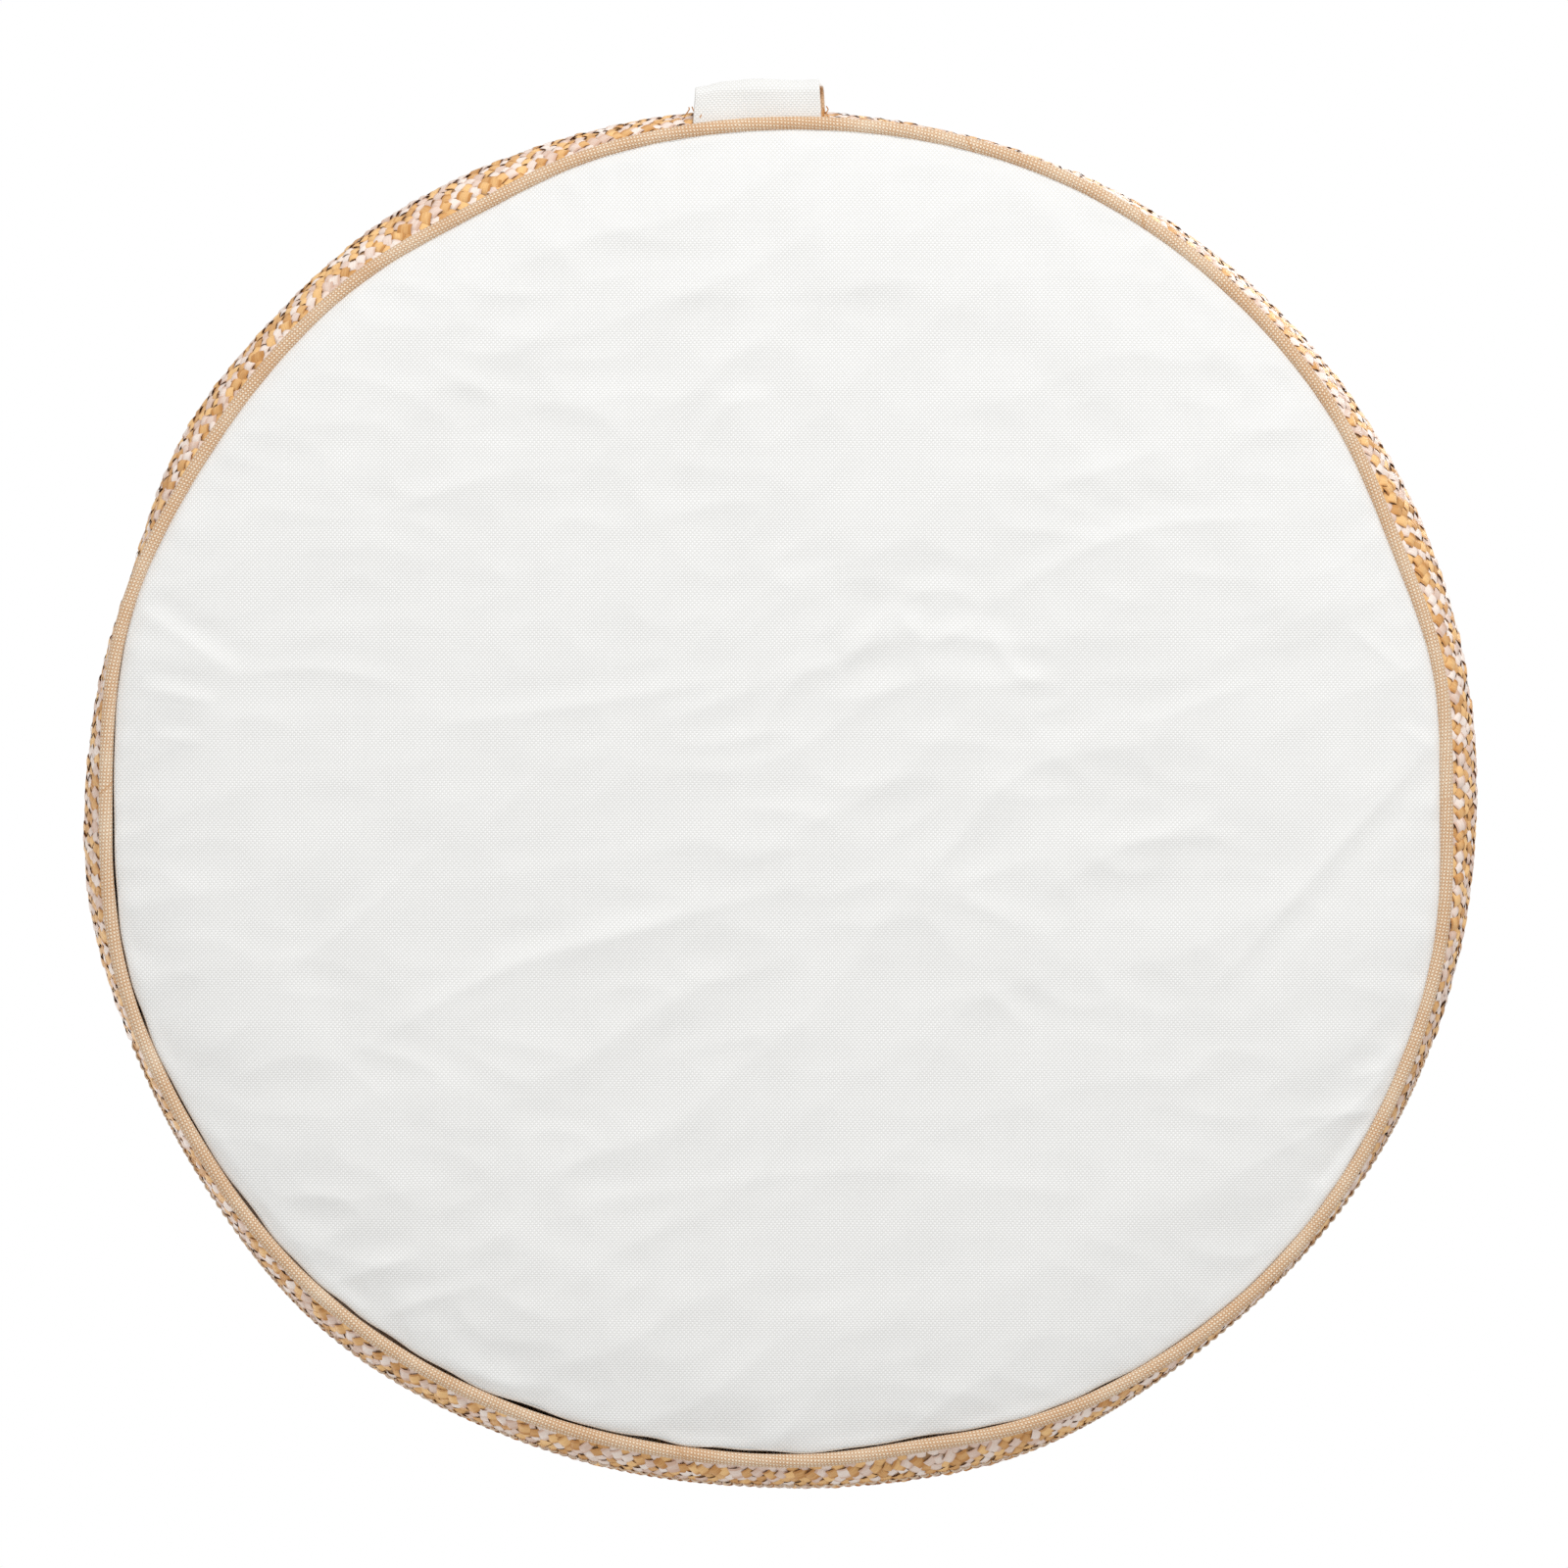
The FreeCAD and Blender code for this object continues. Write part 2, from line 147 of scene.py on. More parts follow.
floor_links.new(solid.outputs[0], floor_pick.inputs["Fac"])
floor_links.new(clear.outputs[0], floor_pick.inputs[1])
floor_links.new(floor_colour.outputs[0], floor_pick.inputs[2])
floor_links.new(floor_pick.outputs[0], floor_out.inputs["Surface"])
floor_mesh.materials.append(floor_paint)


# Underside panel: a round of off-white plain-weave canvas, cut a little full and sewn in at the
# lower seam. It lies flat where the pad rests, rounds up to the seam, and creases over the insert.

panel_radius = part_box("underside_panel")[1][0]
panel_rise = 0.0062
panel_flat = 0.150
seam_radius = 0.1923
thread_pitch_x = 0.000585
thread_pitch_y = 0.000645
panel_lift = 0.0009
panel_flatten = 0.87


def bell(x, middle, spread):
    """A smooth hump of height 1: e to the minus half the square of the distance in spreads."""
    return np.exp(-0.5 * ((x - middle) / spread) ** 2)


def turned(angle, middle):
    """The angle from a middle, both in degrees, brought between -180 and 180."""
    return (angle - middle + 180.0) % 360.0 - 180.0


# Places where the sewn outline strays from a circle: angle, outward shift in mm, spread in degrees
seam_strays = (
    (0, -3.3, 7), (-22, -3.2, 7), (-65, 2.2, 14), (-118, -2.4, 6), (-165, 3.0, 8), (165, 3.2, 9),
    (138, 2.0, 12), (95, -3.4, 15), (78, -1.8, 5), (42, 2.0, 14),
)


def seam_line(angle):
    """Radius of the seams at an angle in radians: the mean radius plus one bell for each stray."""
    degrees = np.degrees(angle)
    shift = sum(mm * bell(turned(degrees, at), 0.0, spread) for at, mm, spread in seam_strays)
    return seam_radius + shift * 0.001


def smooth_step(x):
    """0 below 0, 1 above 1, and 3x^2 - 2x^3 between."""
    x = np.clip(x, 0.0, 1.0)
    return x * x * (3.0 - 2.0 * x)


def round_grid(count):
    """A square grid pressed into a unit disc: x = u sqrt(1 - v^2/2), y = v sqrt(1 - u^2/2)."""
    v, u = np.meshgrid(np.linspace(-1, 1, count), np.linspace(-1, 1, count), indexing="ij")
    return u * np.sqrt(1 - v * v / 2), v * np.sqrt(1 - u * u / 2)


def sheet_faces(rows, columns, wrap_rows=False, wrap_columns=False, flip=False):
    """The four-cornered faces between neighbouring points of a grid, joined round where it wraps."""
    r = np.arange(rows if wrap_rows else rows - 1)
    c = np.arange(columns if wrap_columns else columns - 1)
    r, c = (a.ravel() for a in np.meshgrid(r, c, indexing="ij"))
    r2, c2 = (r + 1) % rows, (c + 1) % columns
    faces = np.stack([r * columns + c, r * columns + c2, r2 * columns + c2, r2 * columns + c], axis=1)
    return faces[:, ::-1] if flip else faces


def put_mesh(name, points, faces, uv=None, attributes=None, smooth=True):
    """A mesh object from arrays of points and equal-sided faces, with UVs given for each point."""
    mesh = bpy.data.meshes.new(name)
    points = np.asarray(points, dtype=np.float32).reshape(-1, 3)
    faces = np.asarray(faces, dtype=np.int32)
    count, sides = faces.shape
    mesh.vertices.add(len(points))
    mesh.vertices.foreach_set("co", points.ravel())
    mesh.loops.add(count * sides)
    mesh.loops.foreach_set("vertex_index", faces.ravel())
    mesh.polygons.add(count)
    mesh.polygons.foreach_set("loop_start", np.arange(0, count * sides, sides, dtype=np.int32))
    mesh.update(calc_edges=True)
    mesh.polygons.foreach_set("use_smooth", np.full(count, smooth))
    if uv is not None:
        layer = mesh.uv_layers.new(name="lay")
        layer.data.foreach_set("uv", np.asarray(uv, dtype=np.float32).reshape(-1, 2)[faces.ravel()].ravel())
    for key, values in (attributes or {}).items():
        attribute = mesh.attributes.new(key, "FLOAT", "POINT")
        attribute.data.foreach_set("value", np.asarray(values, np.float32).ravel())
    mesh.validate()
    piece = bpy.data.objects.new(name, mesh)
    bpy.context.collection.objects.link(piece)
    return piece


def panel_profile(r):
    """Height of the underside at a radius: flat, then part parabola and part ellipse up to the seam."""
    t = np.clip((r - panel_flat) / (panel_radius - panel_flat), 0.0, 1.0)
    return panel_rise * (0.55 * t ** 2 + 0.45 * (1 - np.sqrt(1 - t ** 2)))


def blur(field, width):
    """A square field smoothed by a bell of that width in grid steps, along both of its directions."""
    reach = int(3 * width)
    kernel = bell(np.arange(-reach, reach + 1), 0.0, width)
    kernel /= kernel.sum()
    padded = np.pad(field, reach, mode="edge")
    padded = np.apply_along_axis(lambda a: np.convolve(a, kernel, mode="valid"), 0, padded)
    return np.apply_along_axis(lambda a: np.convolve(a, kernel, mode="valid"), 1, padded)


panel_count = 112
cloth_frames = 24
loose_hold = 0.02
disc_x, disc_y = round_grid(panel_count)
flat_x, flat_y = disc_x * panel_radius, disc_y * panel_radius
flat_r = np.hypot(flat_x, flat_y)


def simulate_slack(seed):
    """Heights of the creases that form in a round of canvas cut full across the pad.

    The round is pinned at its seam and held lightly to the insert everywhere else. Its cut shape is
    larger than the pad, most of all along one direction, so it buckles across that direction.
    """
    random = np.random.default_rng(seed)
    nudge = blur(random.normal(size=flat_x.shape), 2.0)
    nudge *= 0.0004 / np.abs(nudge).max()
    start = np.stack([flat_x, flat_y, nudge], axis=-1)
    cloth_piece = put_mesh("slack_trial", start, sheet_faces(panel_count, panel_count))
    across = np.array([0.36, 0.93])
    along = np.array([-0.93, 0.36])
    plane = start[..., :2]
    fullness = 0.016 * across * (plane @ across)[..., None] + 0.005 * along * (plane @ along)[..., None]
    cloth_piece.shape_key_add(name="Basis")
    cut = cloth_piece.shape_key_add(name="cut")
    cut_points = start.copy()
    cut_points[..., :2] += fullness
    cut.data.foreach_set("co", cut_points.astype(np.float32).ravel())
    hold = cloth_piece.vertex_groups.new(name="hold")
    held = np.where(flat_r > 0.985 * panel_radius, 1.0, loose_hold)
    for value in (loose_hold, 1.0):
        hold.add(np.flatnonzero(held.ravel() == value).tolist(), value, "REPLACE")
    cloth = cloth_piece.modifiers.new("Cloth", "CLOTH")
    settings = cloth.settings
    settings.quality = 6
    settings.mass = 0.2
    settings.tension_stiffness = 40
    settings.compression_stiffness = 40
    settings.shear_stiffness = 20
    settings.bending_stiffness = 0.05
    settings.effector_weights.gravity = 0.0
    settings.vertex_group_mass = "hold"
    settings.pin_stiffness = 1.0
    settings.rest_shape_key = cut
    cloth.point_cache.frame_start = 1
    cloth.point_cache.frame_end = cloth_frames
    for step in range(1, cloth_frames + 1):
        bpy.context.scene.frame_set(step)
    settled = cloth_piece.evaluated_get(bpy.context.evaluated_depsgraph_get()).to_mesh()
    shape = np.empty(len(settled.vertices) * 3, dtype=np.float32)
    settled.vertices.foreach_get("co", shape)
    bpy.context.scene.frame_set(1)
    bpy.data.objects.remove(cloth_piece)
    return shape.reshape(panel_count, panel_count, 3)[..., 2].astype(float)


slack = simulate_slack(5)
slack -= blur(slack, 12.0)
slack_scale = 2.2
crease_strength = 0.88
fine_count = 300
fine_x, fine_y = round_grid(fine_count)


def finer(field, count):
    """A square field read off again at more places along both directions, on straight lines between."""
    old = np.linspace(0, 1, field.shape[0])
    new = np.linspace(0, 1, count)
    field = np.stack([np.interp(new, old, row) for row in field])
    return np.stack([np.interp(new, old, column) for column in field.T]).T


def spline(points, count):
    """Points along a Catmull-Rom curve through a few given ones, its ends carried straight on."""
    p = np.asarray(points, dtype=float)
    p = np.vstack([2 * p[0] - p[1], p, 2 * p[-1] - p[-2]])
    t = np.linspace(0, len(p) - 3 - 1e-9, count)
    i = t.astype(int)
    f = (t - i)[:, None]
    a, b, c, d = p[i], p[i + 1], p[i + 2], p[i + 3]
    squared, cubed = (2 * a - 5 * b + 4 * c - d) * f ** 2, (3 * b - a - 3 * c + d) * f ** 3
    return 0.5 * (2 * b + (c - a) * f + squared + cubed)


def crease_field(x, y, points, height, width, furrow):
    """A crease: a hump with a furrow on one side, that tapers off to both ends of a curve.

    With d the signed distance in widths, it is e^(-1.3|d|) - furrow e^(-(d-2.2)^2/2.9), times the
    square root of the sine of the way along, so that its ridge is sharp and its sides run out softly.
    """
    line = spline(points, 20)
    best = np.full(x.shape, 1e9)
    signed = np.zeros(x.shape)
    way = np.zeros(x.shape)
    for k in range(len(line) - 1):
        a, b = line[k], line[k + 1]
        run = b - a
        length = np.hypot(*run)
        t = ((x - a[0]) * run[0] + (y - a[1]) * run[1]) / length ** 2
        held = np.clip(t, 0.0, 1.0)
        dx, dy = x - a[0] - held * run[0], y - a[1] - held * run[1]
        far = np.hypot(dx, dy)
        nearer = far < best
        best = np.where(nearer, far, best)
        signed = np.where(nearer, np.sign(dx * run[1] - dy * run[0]) * far, signed)
        way = np.where(nearer, (k + held) / (len(line) - 1), way)
    d = signed / width
    taper = np.sqrt(np.clip(np.sin(np.pi * np.clip(way, 0.0, 1.0)), 0.0, 1.0))
    ridge = np.exp(-1.3 * np.sqrt(d * d + 0.05))
    return crease_strength * height * taper * (ridge - furrow * bell(d, 2.2, 1.2))


# Creases over the insert, in mm: the points each runs through, then its height, width and furrow
creases = (
    (((183, -13), (158, 14), (122, 54)), 0.85, 2.6, 0.6),
    (((-9, -16), (4, -35), (17, -37)), 0.8, 2.5, 0.7),
    (((17, -37), (31, -55)), 0.75, 2.4, 0.7),
    (((31, -55), (41, -45), (56, -51)), 0.8, 2.5, 0.7),
    (((56, -51), (66, -36), (79, -32)), 0.8, 2.5, 0.7),
    (((31, -55), (44, -60), (56, -55)), 0.5, 2.4, 0.5),
    (((56, -55), (99, -76), (141, -80)), 0.75, 2.8, 0.5),
    (((70, -87), (110, -100)), 0.55, 2.6, 0.5),
    (((-99, -21), (-56, -27), (-11, -35)), 0.65, 2.8, 0.6),
    (((-127, 75), (-87, 52), (-56, 41), (17, 21)), 0.75, 3.0, 0.6),
    (((-146, 52), (-120, 33), (-99, 13)), 0.6, 2.6, 0.5),
    (((-31, -89), (-17, -111), (-3, -114)), 0.6, 2.3, 0.6),
    (((-82, 7), (-72, -6)), 0.5, 2.2, 0.5),
    (((84, 13), (130, 10)), 0.6, 2.7, 0.5),
    (((39, 80), (48, 63)), 0.5, 2.3, 0.5),
    (((56, 52), (70, 66)), 0.45, 2.2, 0.5),
    (((99, 151), (104, 161)), 0.5, 2.2, 0.5),
    (((39, 162), (45, 137)), 0.55, 2.6, 0.5),
    (((-132, 139), (-104, 130)), 0.6, 2.4, 0.6),
    (((-116, 148), (-84, 137)), 0.65, 2.4, 0.6),
    (((-107, 159), (-84, 166), (-65, 168)), 0.75, 2.8, 0.7),
    (((-186, -55), (-172, -46), (-155, -35)), 0.8, 2.2, 0.8),
    (((-183, -32), (-161, -27)), 0.7, 2.0, 0.8),
    (((-180, -18), (-165, -16)), 0.5, 1.8, 0.7),
    (((-158, -35), (-132, -37), (-107, -32)), 0.6, 2.4, 0.6),
    (((161, -49), (178, -35)), 0.6, 2.0, 0.6),
    (((175, -21), (187, -13)), 0.6, 2.0, 0.7),
    (((161, 80), (175, 76)), 0.5, 1.9, 0.6),
    (((158, 90), (169, 89)), 0.45, 1.8, 0.6),
    (((-68, 121), (-20, 110), (28, 106), (87, 113)), 0.55, 3.6, 0.3),
    (((-60, -148), (-10, -143), (52, -149)), 0.4, 3.4, 0.3),
    (((100, -20), (136, -34)), 0.5, 2.4, 0.5),
    (((-40, 75), (8, 64)), 0.4, 2.8, 0.4),
    (((-120, -80), (-82, -92)), 0.4, 2.6, 0.4),
)

main_crest = 69.0


def crumple_field(x, y, seed, count, short_wave, long_wave, fan):
    """Crisp shallow folds: minus the size of a sum of plane waves whose crests run mostly one way.

    The wave lengths are in mm, and the fan is how far, in radians, the crests may turn from the
    run of the big creases. The size of a sum that changes sign has a sharp line where it is zero.
    """
    random = np.random.default_rng(seed)
    length = random.uniform(short_wave, long_wave, count)
    way = np.radians(main_crest) + random.uniform(-fan, fan, count)
    phase = random.uniform(0, 2 * np.pi, count)
    bent_x = x + 5.0 * np.sin(y / 23.0 + 1.0) + 2.0 * np.sin(x / 9.0 + y / 13.0)
    bent_y = y + 6.0 * np.sin(x / 31.0) + 2.0 * np.sin(y / 11.0 - x / 17.0)
    total = sum(
        np.sin(2 * np.pi / l * (bent_x * np.cos(w) + bent_y * np.sin(w)) + p)
        for l, w, p in zip(length, way, phase)
    )
    return -np.abs(total) / math.sqrt(count)


def rim_ring(x, y):
    """The insert's rim felt through the cloth: a low ring, stronger and weaker round the pad."""
    r, angle = np.hypot(x, y), np.arctan2(y, x)
    wander = 150.0 + 2.5 * np.sin(2 * angle + 0.6) + 1.8 * np.sin(5 * angle + 2.0)
    strength = 0.55 + 0.35 * np.sin(angle * 2 - 2.2) + 0.2 * np.sin(7 * angle)
    return np.clip(strength, 0.1, 1.0) * (0.28 * bell(r, wander, 3.6) - 0.18 * bell(r, wander - 9.0, 5.0))


def seam_puckers(r, angle, edge):
    """Little radial tucks next to the seam: a mixed ripple round the pad that dies away inwards."""
    ripple = (
        np.sin(57 * angle + 1.1 + 2 * np.sin(3 * angle))
        + 0.8 * np.sin(83 * angle + 2.0 * np.sin(5 * angle + 1))
        + 0.6 * np.sin(131 * angle)
    )
    loud = 0.35 + 0.65 * smooth_step(0.5 + 0.5 * np.sin(4 * angle + 1.0 + np.sin(9 * angle)))
    return 0.22 * loud * ripple * np.exp(-(edge - r) / 6.5) * smooth_step((edge - r) / 1.2)


def cloth_disc(name, count, edge_gap, height_of, relief, facing_down):
    """A round of cloth on the pressed grid, out to the seam line less a gap, at a height plus relief.

    The gap is a function of the angle. The height is read at the radius it would have on an even
    circle, and the relief is in mm along the way the cloth faces.
    """
    x, y = round_grid(count)
    angle = np.arctan2(y, x)
    share = np.hypot(x, y)
    even_r = share * panel_radius
    edge = seam_line(angle) - edge_gap(angle)
    pull_out = smooth_step((share - 0.7) / 0.3)
    r = even_r + (edge - panel_radius) * pull_out * share
    px, py = r * np.cos(angle), r * np.sin(angle)
    z = height_of(even_r) + relief(px * 1000, py * 1000) * (-0.001 if facing_down else 0.001)
    points = np.stack([px, py, z], axis=-1)
    faces = sheet_faces(count, count, flip=facing_down)
    return put_mesh(name, points, faces, uv=np.stack([px, py], axis=-1))


fine_slack = blur(finer(slack, fine_count) * 1000 * slack_scale, 1.6)


def underside_relief(x, y):
    """All the creases, the rim, the tucks at the seam and the simulated slack, faded out at the edge."""
    r, angle = np.hypot(x, y), np.arctan2(y, x)
    edge = (seam_line(angle) - 0.00195) * 1000
    total = sum(crease_field(x, y, *crease) for crease in creases)
    calm = 0.35 + 0.65 * smooth_step(0.5 + 0.6 * np.sin(x / 47 + 0.7) * np.sin(y / 39 + 1.9))
    broad_folds = 0.80 * crumple_field(x, y, 8, 9, 34, 80, 0.6)
    small_folds = 0.34 * crumple_field(x, y, 9, 9, 16, 34, 1.1)
    total = total + calm * (broad_folds + small_folds + 0.6)
    fade = smooth_step((edge - r) / 5.0)
    return (total + rim_ring(x, y) + fine_slack) * fade + seam_puckers(r, angle, edge) - 0.25


def tuck_gap(angle):
    """How far the panel stops short of the seam line: unevenly more at the back, where a crevice shows."""
    degrees = np.degrees(angle)
    wide, narrow = bell(turned(degrees, 112), 0.0, 44), bell(turned(degrees, 178), 0.0, 12)
    ripple = 0.3 * np.sin(29 * angle + 2 * np.sin(7 * angle)) + 0.2 * np.sin(61 * angle + np.sin(11 * angle))
    return 0.0018 + 0.0011 * (1 + ripple) * wide + 0.0005 * narrow


underside = cloth_disc(
    "underside_cloth", fine_count, tuck_gap, lambda r: panel_lift + panel_profile(r) * panel_flatten,
    underside_relief, True,
)


def new_paint(name, roughness=0.8, metallic=0.0):
    """A material with only its Principled node, and the node tree's tools for adding to it."""
    paint = bpy.data.materials.new(name)
    paint.use_nodes = True
    tree = paint.node_tree
    shader = tree.nodes["Principled BSDF"]
    shader.inputs["Roughness"].default_value = roughness
    shader.inputs["Metallic"].default_value = metallic
    return paint, tree, shader


def sums(tree, operation, a, b=None, c=None):
    """One step of arithmetic on sockets or plain numbers."""
    node = tree.nodes.new("ShaderNodeMath")
    node.operation = operation
    for socket, value in zip(node.inputs, (a, b, c)):
        if value is None:
            continue
        if isinstance(value, (int, float)):
            socket.default_value = value
        else:
            tree.links.new(value, socket)
    return node.outputs[0]


def where(tree, layer=None):
    """The three coordinates of the shaded point: the piece's own UV, or its place in the object."""
    if layer:
        source = tree.nodes.new("ShaderNodeUVMap")
        source.uv_map = layer
        place = source.outputs["UV"]
    else:
        place = tree.nodes.new("ShaderNodeTexCoord").outputs["Object"]
    parts = tree.nodes.new("ShaderNodeSeparateXYZ")
    tree.links.new(place, parts.inputs[0])
    return place, parts.outputs


def noise(tree, place, scale, detail=2.0, stretch=None):
    """Smooth noise about 0.5, read at a place stretched by a factor along each direction."""
    node = tree.nodes.new("ShaderNodeTexNoise")
    node.inputs["Scale"].default_value = scale
    node.inputs["Detail"].default_value = detail
    if stretch:
        scaled = tree.nodes.new("ShaderNodeVectorMath")
        scaled.operation = "MULTIPLY"
        scaled.inputs[1].default_value = stretch
        tree.links.new(place, scaled.inputs[0])
        place = scaled.outputs[0]
    tree.links.new(place, node.inputs["Vector"])
    return node.outputs["Fac"]


def blend_colours(tree, amount, dark, light):
    """A colour between two, by an amount from 0 to 1; each may be a colour or another socket."""
    mix = tree.nodes.new("ShaderNodeMix")
    mix.data_type = "RGBA"
    tree.links.new(amount, mix.inputs["Factor"])
    for socket, value in ((mix.inputs["A"], dark), (mix.inputs["B"], light)):
        if isinstance(value, tuple):
            socket.default_value = (*value, 1.0)
        else:
            tree.links.new(value, socket)
    return mix.outputs["Result"]


def raise_bumps(tree, shader, height, depth):
    """Bumps of a depth in metres from a height between 0 and 1."""
    bump = tree.nodes.new("ShaderNodeBump")
    bump.inputs["Strength"].default_value = 1.0
    bump.inputs["Distance"].default_value = depth
    tree.links.new(height, bump.inputs["Height"])
    tree.links.new(bump.outputs[0], shader.inputs["Normal"])


def weave_height(tree, across, along, pitch_across, pitch_along, wobble=None):
    """Height of a plain weave, from 0 in the gaps to 1 on the crowns, and which threads are on top.

    With A and B the sines of pi times the two coordinates in threads, it is
    |A| (1 + AB) / 2 + |B| (1 - AB) / 2, so that the two sets of threads take turns on top.
    """
    a, b = sums(tree, "DIVIDE", across, pitch_across), sums(tree, "DIVIDE", along, pitch_along)
    if wobble is not None:
        a, b = sums(tree, "ADD", a, wobble), sums(tree, "ADD", b, wobble)
    a, b = (sums(tree, "SINE", sums(tree, "MULTIPLY", v, math.pi)) for v in (a, b))
    product = sums(tree, "MULTIPLY", a, b)
    over = sums(tree, "MULTIPLY_ADD", product, 0.5, 0.5)
    under = sums(tree, "SUBTRACT", 1.0, over)
    over = sums(tree, "MULTIPLY", sums(tree, "ABSOLUTE", a), over)
    under = sums(tree, "MULTIPLY", sums(tree, "ABSOLUTE", b), under)
    return sums(tree, "ADD", over, under), product


def canvas_paint(name, layer, gap, crown, pitch_across, pitch_along, uneven, depth):
    """Woven cotton: plain weave, thick and thin threads and a broad unevenness in tone, with painted shade in
    the gaps and a painted light-and-shade checker on the crossings.
    """
    paint, tree, shader = new_paint(name, 0.85)
    place, (x, y, z) = where(tree, layer)
    wobble = sums(tree, "MULTIPLY_ADD", noise(tree, place, 160.0), 0.9, -0.45)
    height, turns = weave_height(tree, x, y, pitch_across, pitch_along, wobble)
    thick_warp = noise(tree, place, 1.0, 2.0, (900.0, 25.0, 900.0))
    thick_weft = noise(tree, place, 1.0, 2.0, (25.0, 900.0, 900.0))
    threads = sums(tree, "MULTIPLY_ADD", sums(tree, "ADD", thick_warp, thick_weft), 0.5, -0.5)
    broad = sums(tree, "SUBTRACT", noise(tree, place, 22.0, 3.0), 0.5)
    # Painted light and shade: the height darkens the gaps between threads as painted shade. The over-under
    # sign lightens one set of crossings as painted highlight and darkens the other as painted shade.
    tone = sums(tree, "MULTIPLY_ADD", turns, 0.55, sums(tree, "MULTIPLY", height, 0.8))
    tone = sums(tree, "MULTIPLY_ADD", threads, 0.16, tone)
    tone = sums(tree, "MULTIPLY_ADD", broad, uneven, tone)
    tree.links.new(blend_colours(tree, tone, gap, crown), shader.inputs["Base Color"])
    shader.inputs["Sheen Weight"].default_value = 0.15
    raise_bumps(tree, shader, sums(tree, "MULTIPLY_ADD", threads, 0.35, height), depth)
    return paint


# The first colour is the painted shade in the weave's gaps, the second the lit crowns.
canvas_cloth = canvas_paint(
    "off_white_canvas", None, (0.75, 0.745, 0.727), (0.998, 0.996, 0.986),
    thread_pitch_x, thread_pitch_y, 0.12, 0.00010,
)
underside.data.materials.append(canvas_cloth)
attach(underside, "pad")
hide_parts("underside_panel")


def turned_in_edge(name, gap, edge_z, outward, upward, facing_down):
    """The cloth's edge turned in at the seam: a few steps out and up or down from its rim, all round."""
    angle = np.linspace(0, 2 * np.pi, 600, endpoint=False)
    r = (seam_line(angle) - gap(angle))[:, None] + np.array(outward)
    z = np.broadcast_to(edge_z + np.array(upward), r.shape)
    angle = angle[:, None]
    points = np.stack([r * np.cos(angle), r * np.sin(angle), z], axis=-1)
    return put_mesh(name, points, sheet_faces(*r.shape, wrap_rows=True, flip=facing_down))


tuck = turned_in_edge(
    "underside_turned_in_edge", tuck_gap, panel_lift + panel_rise * panel_flatten - 0.0001,
    (-0.0003, 0.0001, 0.0003, 0.0004, 0.0004), (0.0, 0.0003, 0.0010, 0.0022, 0.0040), True,
)
tuck.data.materials.append(canvas_cloth)
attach(tuck, "pad")
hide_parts("underside_panel")


# Pipings: strips of tan and cream canvas cut on the bias, folded over a cotton cord and sewn into
# both seams. The strips are joined end to end, so a slanting join shows here and there.

tube_radius = 0.00195
cord_radius = 0.00133
piping_height = 0.007
seam_rise = 0.036
bias_pitch = 0.00127
ring_steps = 720
join_width = 0.0007
joins = (101, -177, -56, -72)


def wind_ring(name, height, radius, steps, sides, twist=0.0, lobes=0, lobe_depth=0.0, uneven=0.0, seed=1):
    """A tube round the seam line: a circle of the radius carried along it, with lobes that twist.

    The radius is multiplied by 1 + lobe_depth cos(lobes (side angle + twist x way round)), and
    by a smooth unevenness along the ring.
    """
    random = np.random.default_rng(seed)
    angle = np.linspace(0, 2 * np.pi, steps, endpoint=False)
    side = np.linspace(0, 2 * np.pi, sides, endpoint=False)
    waves = random.uniform(-1, 1, (2, 40))
    order = np.arange(20, 60)[:, None]
    swell = (waves[0][:, None] * np.sin(order * angle) + waves[1][:, None] * np.cos(order * angle)).sum(0)
    middle = seam_line(angle)
    a, s = np.meshgrid(angle, side, indexing="ij")
    tube = radius * (1 + lobe_depth * np.cos(lobes * s + twist * a) + uneven * swell[:, None] / 5)
    r = middle[:, None] + tube * np.cos(s)
    z = height + tube * np.sin(s)
    points = np.stack([r * np.cos(a), r * np.sin(a), z], axis=-1)
    piece = put_mesh(name, points, sheet_faces(steps, sides, wrap_rows=True, wrap_columns=True))
    around = np.append(np.arange(steps), steps)[:, None] * np.ones(sides + 1)
    along = around / steps * 2 * np.pi * seam_radius
    over = np.ones(steps + 1)[:, None] * np.arange(sides + 1) / sides * 2 * np.pi * radius
    corners = sheet_faces(steps + 1, sides + 1)
    lay = np.stack([along, over], axis=-1).reshape(-1, 2)[corners.ravel()]
    piece.data.uv_layers.new(name="lay").data.foreach_set("uv", lay.astype(np.float32).ravel())
    return piece


